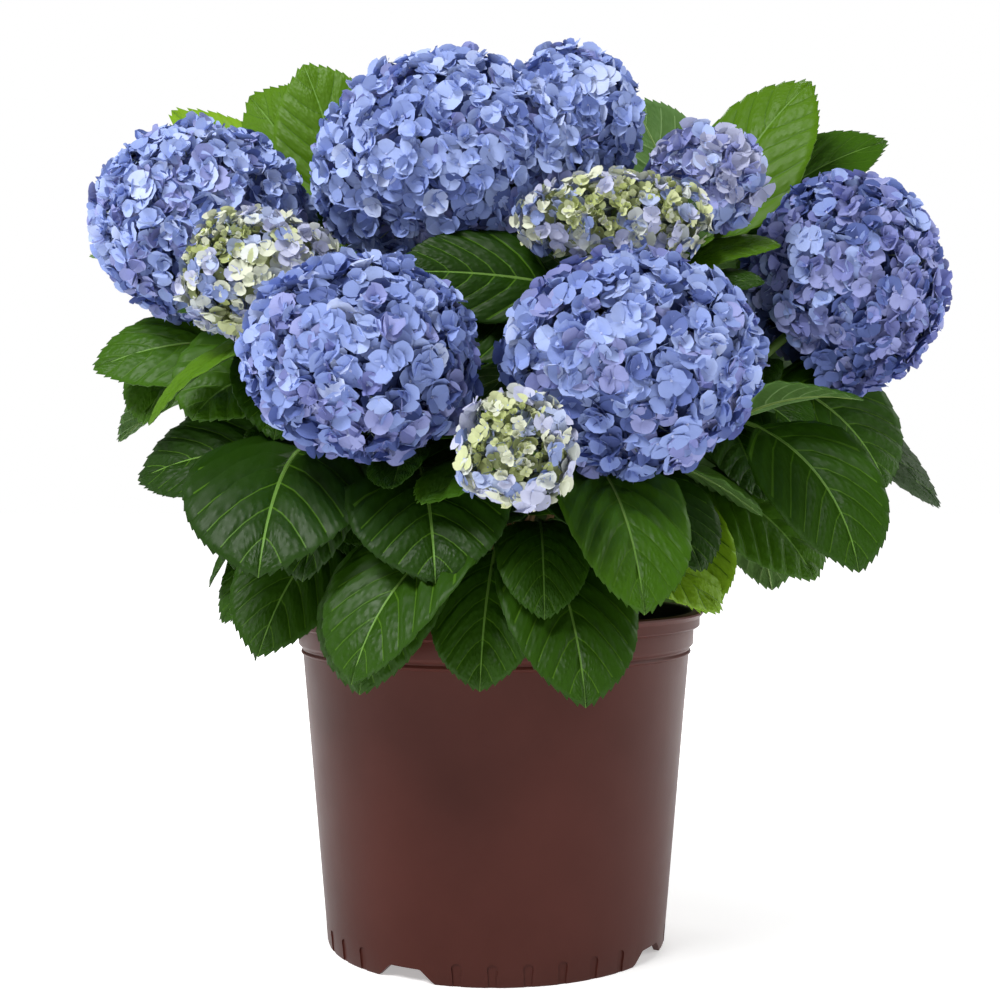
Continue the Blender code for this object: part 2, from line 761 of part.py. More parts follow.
def grow_leaves(shoots, bodies):
    """Tries each shoot's placed leaves, then its pairs, and keeps those that settle."""
    kept = {item["name"]: [] for item in shoots}
    for placed, seed in ((True, PLACED_SEED), (False, PAIR_SEED)):
        rng = random.Random(seed)
        for item in shoots:
            for wish in item["leaves"] if placed else list(fill_leaves(item, rng)):
                if not placed and (hides_rim(wish[1]) or not in_crown(wish[1])):
                    continue
                tries = PLACED_TRIES if placed else FILL_TRIES
                blade = settled(item, wish, shoots, bodies, rng, tries)
                if blade:
                    kept[item["name"]].append(blade)
    return kept


def head_points(centre, radii, count):
    """Even places over an ellipsoid, each with its outward normal."""
    golden = math.pi * (3 - math.sqrt(5))
    for rank in range(count):
        high = 1 - 2 * (rank + 0.5) / count
        flat = math.sqrt(1 - high * high)
        way = Vector((flat * math.cos(golden * rank), flat * math.sin(golden * rank), high))
        at = Vector(way[axis] * (radii[axis] - RIM_RISE) for axis in range(3))
        normal = Vector(way[axis] / radii[axis] for axis in range(3)).normalized()
        yield centre + at, normal


def floret(at, normal, spin, collection):
    """A four-petalled floret, a coarse cone whose point is sunk in the flower head's core."""
    bm = bmesh.new()
    bmesh.ops.create_cone(
        bm,
        cap_ends=True,
        segments=8,
        radius1=0.0,
        radius2=FLORET_RADIUS,
        depth=FLORET_DEPTH,
        matrix=Matrix.Translation((0, 0, -FLORET_DEPTH / 2)),
    )
    for vert in bm.verts:
        eighth = round(math.atan2(vert.co.y, vert.co.x) / (math.pi / 4))
        if vert.co.z > -FLORET_DEPTH / 2 and eighth % 2:
            vert.co.x *= PETAL_NOTCH
            vert.co.y *= PETAL_NOTCH
    turn = UP.rotation_difference(normal).to_matrix().to_4x4()
    bm.transform(Matrix.Translation(at) @ turn @ Matrix.Rotation(spin, 4, "Z"))
    add_object("floret", finish_mesh(bm, "floret"), collection)


def core(centre, radii, collection):
    """The dense middle of a flower head."""
    bm = bmesh.new()
    detail = 2 if max(radii) > 0.1 else 1
    bmesh.ops.create_icosphere(bm, subdivisions=detail, radius=1.0)
    bmesh.ops.scale(bm, vec=Vector(radii) * CORE_SHARE, verts=bm.verts)
    bmesh.ops.translate(bm, vec=centre, verts=bm.verts)
    add_object("core", finish_mesh(bm, "core"), collection)


def build_head(item, collection, rng):
    """A flower head: its cores and the florets that stand out of them."""
    balls = [(item["centre"], item["radii"])]
    if item["lobe"]:
        middle, radius = item["lobe"]
        balls.append((middle, Vector((radius, radius, radius))))
    for centre, radii in balls:
        core(centre, radii, collection)
    for centre, radii in balls:
        area = 4 * math.pi * (radii.x * radii.y * radii.z) ** (2 / 3)
        count = max(6, round(area / FLORET_SPACING**2))
        for at, normal in head_points(centre, radii, count):
            others = [ball for ball in balls if ball[0] is not centre]
            buried = any(
                sum(((at[axis] - mid[axis]) / span[axis]) ** 2 for axis in range(3)) < BURIED
                for mid, span in others
            )
            if buried or normal.dot(-facing(item)) > STEM_OPENING:
                continue
            floret(at, normal, rng.uniform(0, math.pi), collection)


def build_shoot(item, leaves, parts, materials, rng):
    """One shoot's solid: its stem, fused with its leaves and with its flower head."""
    ends = item["path"]
    points = limb_points(ends, CANE_SHARE, SHOOT_END, SHOOT_POINTS)
    radii = tapered(points, CANE_TIP_RADIUS * SHOOT_SLIM, SHOOT_TIP_RADIUS)
    solid = tube("shoot_" + item["name"], points, radii, parts, 4)
    pieces = bpy.data.collections.new("pieces")
    for mesh in leaves:
        add_object("leaf", mesh, pieces)
    if item["radii"]:
        build_head(item, pieces, rng)
    return fuse(solid, pieces, materials[tuple(item["colour"])])


def main():
    for item in list(bpy.data.objects):
        bpy.data.objects.remove(item)
    parts = bpy.data.collections.new("hydrangea")
    cutters = bpy.data.collections.new("cutters")
    bpy.context.scene.collection.children.link(parts)
    bpy.context.scene.collection.children.link(cutters)
    pot = build_pot(parts, cutters)
    soil = build_soil(parts)
    bark = principled("bark", BARK, 0.85)
    materials = {
        BLUE: principled("flowers_blue", BLUE, 0.6),
        MAUVE: principled("flowers_mauve", MAUVE, 0.6),
        LIME: principled("flowers_young", LIME, 0.6),
        GREEN: principled("foliage", GREEN, 0.5),
    }
    set_feet(SHOOTS)
    stem = build_stem(parts, bark)
    bpy.context.view_layer.update()
    depsgraph = bpy.context.evaluated_depsgraph_get()
    bodies = [(None, BVHTree.FromObject(thing, depsgraph), None) for thing in (pot, soil, stem)]
    for item in SHOOTS:
        points = limb_points(item["path"], 0.0, CANE_SHARE, CANE_POINTS)
        radii = tapered(points, CANE_FOOT_RADIUS * CANE_SLIM, CANE_TIP_RADIUS)
        cane = tube("cane_" + item["name"], points, radii, parts)
        cane.data.materials.append(bark)
        bodies.append((None, tree_of(cane.data), None))
        points = limb_points(item["path"], CANE_SHARE, SHOOT_END, SHOOT_POINTS)
        guide = tube("guide", points, tapered(points, CANE_TIP_RADIUS, SHOOT_TIP_RADIUS), parts, 4)
        bodies.append((item, tree_of(guide.data), None))
        bpy.data.objects.remove(guide)
    kept = grow_leaves(SHOOTS, bodies)
    rng = random.Random(5)
    for item in SHOOTS:
        build_shoot(item, kept[item["name"]], parts, materials, rng)


main()
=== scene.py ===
"""A potted bigleaf hydrangea in bloom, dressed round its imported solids. Metres, +Z up; the plant faces -Y.

The shoots, their leaves and their flower heads grow by the source's rule, written again here with the same
shoots, sizes, seeds and order of tests. On it grow finer leaves, leaf stalks, branchlets and florets.
"""

import math
import random

import bmesh
import bpy
import numpy as np
from mathutils import Matrix, Vector, noise
from mathutils.bvhtree import BVHTree


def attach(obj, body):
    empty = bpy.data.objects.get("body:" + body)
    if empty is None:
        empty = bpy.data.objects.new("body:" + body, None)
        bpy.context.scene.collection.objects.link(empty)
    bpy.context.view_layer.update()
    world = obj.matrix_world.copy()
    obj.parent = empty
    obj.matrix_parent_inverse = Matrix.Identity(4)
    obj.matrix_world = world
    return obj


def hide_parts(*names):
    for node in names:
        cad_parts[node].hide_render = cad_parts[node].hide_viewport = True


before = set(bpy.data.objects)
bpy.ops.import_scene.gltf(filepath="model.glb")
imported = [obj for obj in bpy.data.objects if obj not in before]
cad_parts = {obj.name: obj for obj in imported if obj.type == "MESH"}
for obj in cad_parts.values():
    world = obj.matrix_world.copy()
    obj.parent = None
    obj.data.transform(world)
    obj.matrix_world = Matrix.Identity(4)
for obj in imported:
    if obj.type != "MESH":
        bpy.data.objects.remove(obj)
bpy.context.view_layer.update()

UP = Vector((0, 0, 1))
TOUCH_GAP = 0.0003

# ---------------------------------------------------------------- the source's sizes

POT_HEIGHT = 0.232
WALL = 0.0024
FLANGE_RADIUS = 0.1460
LIP_RADIUS = 0.1436
LIP_BOTTOM = 0.2210
BAND_RADIUS = 0.1394
BAND_BOTTOM = 0.2095
BEAD_RADIUS = 0.1374
BEAD_HEIGHT = 0.2035
WALL_TOP_RADIUS = 0.1360
WALL_FOOT_RADIUS = 0.1187
FOOT_WIDTH = 0.0045
FLOOR_UNDERSIDE = 0.0095
MOUTH_RADIUS = 0.1372
FEET = 4
FIRST_GAP_HEADING = -29.5
GAP_HEIGHT = 0.0088
GAP_TOP_DEG = 11.0
GAP_GROUND_DEG = 20.5
FLUTES_PER_FOOT = 6
FLUTE_PITCH_DEG = 11.0
FLUTE_RADIUS = 0.0034
FLUTE_TOP = 0.0150
FLUTE_DEPTH = 0.0010
SOIL_TOP = 0.2070
STEM_FOOT_RADIUS, STEM_TOP_RADIUS = 0.060, 0.051
STEM_HEIGHT = 0.014
INNER_RING, OUTER_RING = 0.018, 0.043
INNER_CANES = 7
CANE_PULL = 0.34
CANE_FOOT_RADIUS, CANE_TIP_RADIUS = 0.0056, 0.0042
SHOOT_TIP_RADIUS = 0.0030
CANE_SHARE = 0.42
SHOOT_END = 0.985
SHOOT_POINTS = 5
STRAIGHT = 0.004
HEART = Vector((0, 0, 0.24))
PETIOLE_SHARE = 0.15
PETIOLE_RADIUS = 0.0018
LEAF_THICKNESS = 0.0026
LEAF_FOLD = 0.16
FULL_ROLL = 0.35
BLADE_RINGS = ((0.40, 0.97), (0.76, 0.74))
LEAF_PULL = 0.36
LEAF_CLEARANCE = 0.0010
PLACED_SEED, PAIR_SEED = 11, 3
PLACED_TRIES, FILL_TRIES = 40, 24
SWAY = 0.030
ARCH_SWAY, ROLL_SWAY = 18, 20
OWN_HEAD_SHARE = 0.25
LEAF_ROOT = 0.026
FILL_LENGTH = (0.150, 0.105)
FILL_CLIMB = (-58, 0)
FILL_WIDTH = (0.50, 0.62)
FILL_ARCH, FILL_ROLL = (18, 36), (-25, 25)
FIRST_PAIR, PAIR_RUN = 0.02, 0.78
PAIR_JITTER = (0.1, 0.7)
PAIR_SPREAD = (38, 84)
HEADING_JITTER, CLIMB_JITTER, LENGTH_JITTER = 16, 14, 0.01
CROWN_CENTRE = Vector((0, 0, 0.34))
CROWN_RADII = Vector((0.318, 0.262, 0.288))
RIM_SHOWS = (12, 128)
RIM_SHOWS_BELOW = 0.236
STEM_OPENING = 0.72

BLUE, MAUVE, LIME, GREEN = "blue", "mauve", "lime", "green"


def around(heading, reach, height):
    """A point round the plant, from its heading in degrees, its distance from the axis and its height."""
    angle = math.radians(heading)
    return Vector((reach * math.sin(angle), -reach * math.cos(angle), height))


def leaf(at, heading, reach, height, width, arch=30, roll=0):
    """A leaf from the stem's share at to a tip, given round the plant. Width is a share of its length."""
    return (at, around(heading, reach, height), width, arch, roll)


def shoot(name, centre, radii=None, colour=GREEN, lobe=None, leaves=(), pairs=3):
    """A shoot that ends at centre, in a flower head where it has radii, with leaves placed or in pairs."""
    radii = Vector(radii) if radii else None
    return {
        "name": name,
        "centre": Vector(centre),
        "radii": radii,
        "colour": colour,
        "lobe": lobe,
        "leaves": leaves,
        "pairs": pairs,
    }


SHOOTS = [
    shoot(
        "top",
        (-0.028, -0.040, 0.535),
        (0.102, 0.088, 0.080),
        BLUE,
        lobe=(Vector((0.050, -0.030, 0.569)), 0.055),
    ),
    shoot(
        "left",
        (-0.207, -0.005, 0.504),
        (0.082, 0.076, 0.073),
        BLUE,
        leaves=(
            leaf(0.35, -86, 0.282, 0.400, 0.50, arch=25, roll=-50),
            leaf(0.22, -73, 0.210, 0.360, 0.80, arch=45, roll=-35),
        ),
    ),
    shoot(
        "right",
        (0.248, 0.000, 0.462),
        (0.074, 0.076, 0.081),
        MAUVE,
        leaves=(
            leaf(0.30, 76, 0.215, 0.350, 0.60, arch=40, roll=40),
            leaf(0.50, 90, 0.278, 0.318, 0.60, arch=30, roll=60),
            leaf(0.40, 96, 0.328, 0.304, 0.30, arch=20, roll=50),
        ),
    ),
    shoot(
        "front_left",
        (-0.079, -0.185, 0.393),
        (0.074, 0.064, 0.063),
        BLUE,
        leaves=(
            leaf(0.30, -3, 0.212, 0.257, 0.80, arch=40),
            leaf(0.02, -25, 0.184, 0.184, 0.60, arch=25),
        ),
    ),
    shoot(
        "front_right",
        (0.081, -0.170, 0.392),
        (0.083, 0.070, 0.070),
        BLUE,
        leaves=(
            leaf(0.35, 21, 0.236, 0.244, 0.50, arch=35),
            leaf(0.20, 36, 0.210, 0.266, 0.55, arch=40, roll=20),
        ),
    ),
    shoot(
        "upper_right",
        (0.139, -0.060, 0.524),
        (0.045, 0.045, 0.040),
        MAUVE,
        leaves=(
            leaf(0.55, 70, 0.202, 0.478, 0.35, roll=40),
            leaf(0.40, 66, 0.194, 0.452, 0.35, roll=40),
        ),
    ),
    shoot("young_left", (-0.149, -0.115, 0.452), (0.052, 0.042, 0.038), LIME),
    shoot("young_top", (0.073, -0.125, 0.484), (0.058, 0.040, 0.028), LIME),
    shoot(
        "young_front",
        (0.012, -0.235, 0.336),
        (0.032, 0.030, 0.031),
        LIME,
        leaves=(leaf(0.02, -3, 0.176, 0.195, 0.58, arch=25),),
        pairs=2,
    ),
    shoot("rear_left", (-0.125, 0.155, 0.472), (0.076, 0.070, 0.068), BLUE, pairs=4),
    shoot("rear_right", (0.115, 0.165, 0.475), (0.078, 0.068, 0.068), BLUE, pairs=4),
    shoot("rear_middle", (0.000, 0.200, 0.365), (0.074, 0.062, 0.064), MAUVE, pairs=4),
    shoot("rear_low_left", (-0.178, 0.130, 0.345), (0.065, 0.060, 0.058), BLUE),
    shoot("rear_low_right", (0.175, 0.138, 0.348), (0.065, 0.060, 0.058), BLUE),
    shoot(
        "leafy_upper_left",
        (-0.118, 0.050, 0.500),
        leaves=(
            leaf(0.95, -109, 0.154, 0.634, 0.55, arch=12, roll=-85),
            leaf(0.70, -112, 0.224, 0.618, 0.32, arch=18, roll=-60),
            leaf(0.45, -117, 0.303, 0.632, 0.24, arch=12, roll=-60),
        ),
        pairs=2,
    ),
    shoot(
        "leafy_upper_right",
        (0.165, 0.060, 0.490),
        leaves=(
            leaf(0.85, 101, 0.255, 0.604, 0.52, arch=22, roll=60),
            leaf(0.45, 112, 0.325, 0.560, 0.26, arch=15, roll=45),
            leaf(0.80, 115, 0.118, 0.618, 0.45, arch=12, roll=80),
        ),
        pairs=2,
    ),
    shoot(
        "leafy_left",
        (-0.150, -0.060, 0.370),
        leaves=(
            leaf(0.60, -33, 0.240, 0.258, 0.66, arch=40),
            leaf(0.40, -90, 0.255, 0.323, 0.50, arch=25, roll=-55),
            leaf(0.10, -81, 0.192, 0.224, 0.40, arch=25, roll=-50),
            leaf(0.15, -51, 0.193, 0.210, 0.50, arch=25, roll=-25),
        ),
        pairs=2,
    ),
    shoot(
        "leafy_right",
        (0.165, -0.075, 0.370),
        leaves=(
            leaf(0.90, 58, 0.265, 0.264, 0.48, arch=35, roll=40),
            leaf(0.40, 69, 0.225, 0.256, 0.60, arch=30, roll=45),
            leaf(0.20, 45, 0.186, 0.238, 0.50, arch=30, roll=20),
        ),
        pairs=2,
    ),
    shoot(
        "leafy_front",
        (0.030, -0.120, 0.300),
        leaves=(
            leaf(0.50, 14, 0.215, 0.190, 0.52, arch=36),
            leaf(0.85, 8, 0.205, 0.240, 0.50, arch=35),
        ),
        pairs=3,
    ),
    shoot("leafy_rear", (-0.020, 0.110, 0.300), pairs=4),
    shoot(
        "leafy_rear_left",
        (-0.220, 0.110, 0.455),
        leaves=(leaf(0.85, -114, 0.358, 0.505, 0.50, arch=20),),
        pairs=4,
    ),
    shoot("leafy_rear_right", (0.236, 0.088, 0.400), pairs=4),
]


# ---------------------------------------------------------------- the source's rule


def bezier(ends, share):
    """The point at a share of a cubic Bezier curve."""
    start, first, second, end = ends
    rest = 1 - share
    point = start * rest**3 + first * (3 * rest**2 * share)
    return point + second * (3 * rest * share**2) + end * share**3


def slope(ends, share):
    """The direction of a cubic Bezier curve at a share."""
    return (bezier(ends, share + 0.001) - bezier(ends, share - 0.001)).normalized()


def facing(item):
    """The direction in which a shoot's end looks."""
    return (item["centre"] - HEART).normalized()


def heading_of(point):
    """The heading round the plant of a point, in degrees."""
    return math.degrees(math.atan2(point.x, -point.y))


def set_feet(shoots):
    """Gives each shoot's cane a foot: the steepest in the inner ring, the others spread round the outer."""

    def lean(item):
        return item["centre"].xy.length / (item["centre"].z - SOIL_TOP)

    steepest = sorted(shoots, key=lean)
    for ring, reach in ((steepest[:INNER_CANES], INNER_RING), (steepest[INNER_CANES:], OUTER_RING)):
        ring.sort(key=lambda item: heading_of(item["centre"]))
        step = 360 / len(ring)
        drift = [heading_of(item["centre"]) - rank * step for rank, item in enumerate(ring)]
        start = sum(drift) / len(drift)
        for rank, item in enumerate(ring):
            foot = around(start + rank * step, reach, SOIL_TOP + STEM_HEIGHT + 2 * TOUCH_GAP)
            rise = item["centre"] - foot
            lean_out = (rise.normalized() + UP).normalized()
            item["path"] = (
                foot + UP * STRAIGHT,
                foot + UP * STRAIGHT + lean_out * rise.length * CANE_PULL,
                item["centre"] - facing(item) * rise.length * CANE_PULL,
                item["centre"],
            )


def limb_points(ends, first, last, count):
    """Points along a curve between two shares, straight for a little way where limbs meet."""
    finish = bezier(ends, last)
    points = [bezier(ends, first) + slope(ends, first) * TOUCH_GAP]
    points.append(bezier(ends, first) + slope(ends, first) * STRAIGHT)
    for step in range(1, count - 1):
        points.append(bezier(ends, first + (last - first) * step / (count - 1)))
    points += [finish - slope(ends, last) * STRAIGHT, finish]
    return points


def tapered(points, wide, narrow):
    """Radii that fall evenly along the points."""
    return [wide + (narrow - wide) * rank / (len(points) - 1) for rank in range(len(points))]


def put(name, data):
    """A new object of the scene for a mesh, a curve, a light or a camera."""
    thing = bpy.data.objects.new(name, data)
    bpy.context.scene.collection.objects.link(thing)
    return thing


def make_tube(curve, resolution):
    """Gives a curve a round, capped body, whose radius is that of its points."""
    curve.dimensions = "3D"
    curve.bevel_depth = 1.0
    curve.bevel_resolution = resolution
    curve.use_fill_caps = True


def stem_tree(item):
    """The search tree of a shoot's green stem, a four-sided tube as in the source."""
    points = limb_points(item["path"], CANE_SHARE, SHOOT_END, SHOOT_POINTS)
    curve = bpy.data.curves.new("guide", "CURVE")
    make_tube(curve, 0)
    spline = curve.splines.new("POLY")
    spline.points.add(len(points) - 1)
    for place, at, radius in zip(spline.points, points, tapered(points, CANE_TIP_RADIUS, SHOOT_TIP_RADIUS)):
        place.co = (*at, 1.0)
        place.radius = radius
    guide = put("guide", curve)
    bpy.context.view_layer.update()
    seen = guide.evaluated_get(bpy.context.evaluated_depsgraph_get())
    mesh = bpy.data.meshes.new_from_object(seen)
    bm = bmesh.new()
    bm.from_mesh(mesh)
    bmesh.ops.remove_doubles(bm, verts=bm.verts, dist=0.00001)
    tree = tree_of(finish_mesh(bm, "guide"))
    bpy.data.objects.remove(guide)
    bpy.data.curves.remove(curve)
    bpy.data.meshes.remove(mesh)
    return tree


def finish_mesh(bm, name):
    """The bmesh as a triangulated mesh with its faces pointing out."""
    bmesh.ops.recalc_face_normals(bm, faces=bm.faces)
    bmesh.ops.triangulate(bm, faces=bm.faces)
    mesh = bpy.data.meshes.new(name)
    bm.to_mesh(mesh)
    bm.free()
    return mesh


def leaf_curve(start, tip, arch):
    """The leaf's midrib: a curve that leaves the stem above the line to the tip, and droops to it."""
    chord = tip - start
    flat = Vector((chord.x, chord.y, 0))
    length = chord.length
    if flat.length < 0.0001:
        flat = Vector((0.0001, 0, 0))
    out = flat.normalized()
    climb = math.atan2(chord.z, flat.length)
    bend = math.radians(arch)
    leave = out * math.cos(climb + bend) + UP * math.sin(climb + bend)
    arrive = out * math.cos(climb - bend) + UP * math.sin(climb - bend)
    return (start, start + leave * length * LEAF_PULL, tip - arrive * length * LEAF_PULL, tip)


def coarse_leaf(start, tip, width, arch, roll, spare):
    """The source's leaf, as it is tested against its neighbours."""
    ends = leaf_curve(start, tip, arch)
    length = (tip - start).length
    level = (tip - start).cross(UP)
    rings = [(0.0, 0.0), (PETIOLE_SHARE, 0.0), *BLADE_RINGS]
    bm = bmesh.new()
    bmesh.ops.create_uvsphere(bm, u_segments=4, v_segments=len(rings) + 1, radius=1.0)
    for vert in bm.verts:
        rank = round(math.acos(max(-1, min(1, vert.co.z))) / math.pi * (len(rings) + 1)) - 1
        if rank < 0:
            vert.co = start - slope(ends, 0.01) * PETIOLE_RADIUS * 0.5
            continue
        if rank == len(rings):
            vert.co = tip + slope(ends, 0.99) * spare
            continue
        share, half = rings[rank]
        along = slope(ends, max(share, 0.01))
        side = along.cross(UP).normalized()
        if side.dot(level) < 0:
            side.negate()
        side.rotate(Matrix.Rotation(math.radians(roll) * min(1, share / FULL_ROLL), 3, along))
        normal = side.cross(along)
        quarter = round(math.atan2(vert.co.y, vert.co.x) / (math.pi / 2)) % 4
        if half == 0.0:
            reach = PETIOLE_RADIUS + spare
            offset = (side, normal, -side, -normal)[quarter] * reach
        elif quarter % 2 == 0:
            reach = half * width * length / 2 + spare
            offset = (side if quarter == 0 else -side) * reach + normal * reach * LEAF_FOLD
        else:
            offset = (normal if quarter == 1 else -normal) * (LEAF_THICKNESS / 2 + spare)
        vert.co = bezier(ends, share) + offset
    return finish_mesh(bm, "leaf")


def tree_of(mesh, root=None, skip=0.0):
    """A search tree of a mesh's triangles, without those nearer to its root than skip."""
    points = [vert.co.copy() for vert in mesh.vertices]
    faces = [face for face in mesh.polygons if root is None or (face.center - root).length > skip]
    return BVHTree.FromPolygons(points, [tuple(face.vertices) for face in faces])


def reach_in(gap, radii):
    """How far out a point lies in a round form with these radii, squared: 1 on its skin."""
    return sum((gap[axis] / radii[axis]) ** 2 for axis in range(3))


def in_head(item, point, spare):
    """Whether a point lies in or near a shoot's flower head."""
    if item["radii"] is None:
        return False
    if reach_in(point - item["centre"], item["radii"] + Vector((spare, spare, spare))) < 1:
        return True
    return item["lobe"] is not None and (point - item["lobe"][0]).length < item["lobe"][1] + spare


def in_crown(point):
    """Whether a point lies in the space that the crown keeps to."""
    return reach_in(point - CROWN_CENTRE, CROWN_RADII) < 1


def hides_rim(tip):
    """Whether a leaf's tip hangs where the pot's rim is to show."""
    return RIM_SHOWS[0] < heading_of(tip) < RIM_SHOWS[1] and tip.z < RIM_SHOWS_BELOW


def leaf_fits(item, start, mesh, shoots, bodies):
    """Whether a leaf is clear of the pot, the canes, the other shoots and its own shoot's blades."""
    whole = tree_of(mesh)
    blade = tree_of(mesh, start, LEAF_ROOT)
    for owner, body, body_blade in bodies:
        if owner is item:
            if body_blade is not None and body_blade.overlap(blade):
                return False
        elif body.overlap(whole):
            return False
    middles = [face.center for face in mesh.polygons]
    points = [vert.co for vert in mesh.vertices] + middles
    for other in shoots:
        limit = LEAF_CLEARANCE * 2
        inside = sum(in_head(other, point, limit) for point in points)
        if inside > (len(points) * OWN_HEAD_SHARE if other is item else 0):
            return False
    return True


def stem_point(item, at):
    """A point on a shoot's green stem, at a share of the stem's own run."""
    return bezier(item["path"], CANE_SHARE + (1 - CANE_SHARE) * at)


def fill_leaves(item, rng):
    """The pairs of a shoot's leaves, which turn outwards to the light; the low ones are long and hang."""
    for pair in range(item["pairs"]):
        at = FIRST_PAIR + PAIR_RUN * (pair + rng.uniform(*PAIR_JITTER)) / item["pairs"]
        start = stem_point(item, at)
        spread = PAIR_SPREAD[pair % 2]
        for side in (-1, 1):
            heading = heading_of(start) + side * (spread + rng.uniform(-HEADING_JITTER, HEADING_JITTER))
            length = FILL_LENGTH[0] + (FILL_LENGTH[1] - FILL_LENGTH[0]) * at
            length += rng.uniform(-LENGTH_JITTER, LENGTH_JITTER)
            rise = FILL_CLIMB[0] + (FILL_CLIMB[1] - FILL_CLIMB[0]) * at
            climb = math.radians(rise + rng.uniform(-CLIMB_JITTER, CLIMB_JITTER))
            offset = around(heading, math.cos(climb) * length, math.sin(climb) * length)
            width = rng.uniform(*FILL_WIDTH)
            yield (at, start + offset, width, rng.uniform(*FILL_ARCH), rng.uniform(*FILL_ROLL))


def settled(item, wish, shoots, bodies, rng, tries):
    """Moves a leaf's tip a little at a time until the leaf is clear of its neighbours, or gives up."""
    at, tip, width, arch, roll = wish
    start = stem_point(item, at)
    for attempt in range(tries):
        sway = SWAY * attempt / tries
        drift = Vector((rng.uniform(-sway, sway), rng.uniform(-sway, sway), rng.uniform(-sway, sway)))
        bend = arch + rng.uniform(-1, 1) * ARCH_SWAY * attempt / tries
        turn = roll + rng.uniform(-1, 1) * ROLL_SWAY * attempt / tries
        test = coarse_leaf(start, tip + drift, width, bend, turn, LEAF_CLEARANCE)
        fits = leaf_fits(item, start, test, shoots, bodies)
        if fits:
            bodies.append((item, tree_of(test), tree_of(test, start, LEAF_ROOT)))
        bpy.data.meshes.remove(test)
        if fits:
            tip = tip + drift
            return {"item": item, "start": start, "tip": tip, "width": width, "arch": bend, "roll": turn}
    return None


def grow_leaves(shoots, bodies):
    """Tries each shoot's placed leaves, then its pairs, and keeps those that settle."""
    kept = []
    for placed, seed in ((True, PLACED_SEED), (False, PAIR_SEED)):
        rng = random.Random(seed)
        for item in shoots:
            for wish in item["leaves"] if placed else list(fill_leaves(item, rng)):
                if not placed and (hides_rim(wish[1]) or not in_crown(wish[1])):
                    continue
                tries = PLACED_TRIES if placed else FILL_TRIES
                blade = settled(item, wish, shoots, bodies, rng, tries)
                if blade:
                    kept.append(blade)
    return kept


# ---------------------------------------------------------------- finer growth

DEEP_GREEN, DARK_GREEN, MID_GREEN, FRESH_GREEN, BRIGHT_GREEN = range(5)
# Painted light and shade: these leaves take deep greens beneath the heads and lighter greens higher up.
FINE_LEAVES = (
    ("leafy_upper_left", leaf(0.80, -120, 0.230, 0.632, 0.45, arch=10, roll=-80), FRESH_GREEN),
    ("leafy_upper_right", leaf(0.85, 108, 0.320, 0.588, 0.27, arch=20, roll=65), MID_GREEN),
    ("leafy_upper_right", leaf(0.55, -172, 0.070, 0.531, 0.62, arch=4, roll=65), DARK_GREEN),
    ("leafy_upper_right", leaf(0.55, 115, 0.277, 0.455, 0.62, arch=4, roll=65), DARK_GREEN),
    ("young_top", leaf(0.60, -20, 0.110, 0.405, 0.65, arch=10, roll=-65), DEEP_GREEN),
    ("young_left", leaf(0.60, -20, 0.110, 0.425, 0.60, arch=10, roll=65), DARK_GREEN),
    ("young_top", leaf(0.72, -38, 0.125, 0.460, 0.50, arch=8, roll=-65), DEEP_GREEN),
    ("top", leaf(0.55, -38, 0.110, 0.400, 0.55, arch=25), DEEP_GREEN),
    ("top", leaf(0.55, -60, 0.080, 0.385, 0.60, arch=20), DEEP_GREEN),
    ("top", leaf(0.50, 60, 0.090, 0.390, 0.60, arch=20), DEEP_GREEN),
    ("top", leaf(0.50, 45, 0.110, 0.405, 0.55, arch=25), DEEP_GREEN),
)
FINE_SEED, EXTRA_SEED = 17, 23
EXTRA_ROUNDS = 18  # further leaf pairs tried on each stem
EXTRA_TRIES = 4
EXTRA_RUN = (0.02, 0.90)  # of the stem that they grow from
EXTRA_LENGTH = (0.115, 0.055)  # in the first round and in the last
EXTRA_LENGTH_SHARE = (0.85, 1.15)
EXTRA_SPREAD, EXTRA_CLIMB = (10, 110), (-45, 35)
EXTRA_ARCH, EXTRA_ROLL = (10, 36), (-40, 40)


def grow_fine_leaves(shoots, bodies):
    """Further leaves with a place and a green of their own."""
    rng = random.Random(FINE_SEED)
    owners = {item["name"]: item for item in shoots}
    kept = []
    for name, wish, tint in FINE_LEAVES:
        blade = settled(owners[name], wish, shoots, bodies, rng, PLACED_TRIES)
        if blade:
            kept.append({**blade, "tint": tint})
    return kept


def grow_small_leaves(shoots, bodies):
    """Smaller leaves that fill the crown between the large ones, on the same stems."""
    rng = random.Random(EXTRA_SEED)
    kept = []
    for turn in range(EXTRA_ROUNDS):
        for item in shoots:
            at = rng.uniform(*EXTRA_RUN)
            start = stem_point(item, at)
            for side in (-1, 1):
                heading = heading_of(start) + side * rng.uniform(*EXTRA_SPREAD)
                length = EXTRA_LENGTH[0] + (EXTRA_LENGTH[1] - EXTRA_LENGTH[0]) * turn / EXTRA_ROUNDS
                length *= rng.uniform(*EXTRA_LENGTH_SHARE)
                climb = math.radians(rng.uniform(*EXTRA_CLIMB))
                tip = start + around(heading, math.cos(climb) * length, math.sin(climb) * length)
                width, arch, roll = (rng.uniform(*span) for span in (FILL_WIDTH, EXTRA_ARCH, EXTRA_ROLL))
                if hides_rim(tip) or not in_crown(tip):
                    continue
                blade = settled(item, (at, tip, width, arch, roll), shoots, bodies, rng, EXTRA_TRIES)
                if blade:
                    kept.append(blade)
    return kept


# ---------------------------------------------------------------- joined meshes


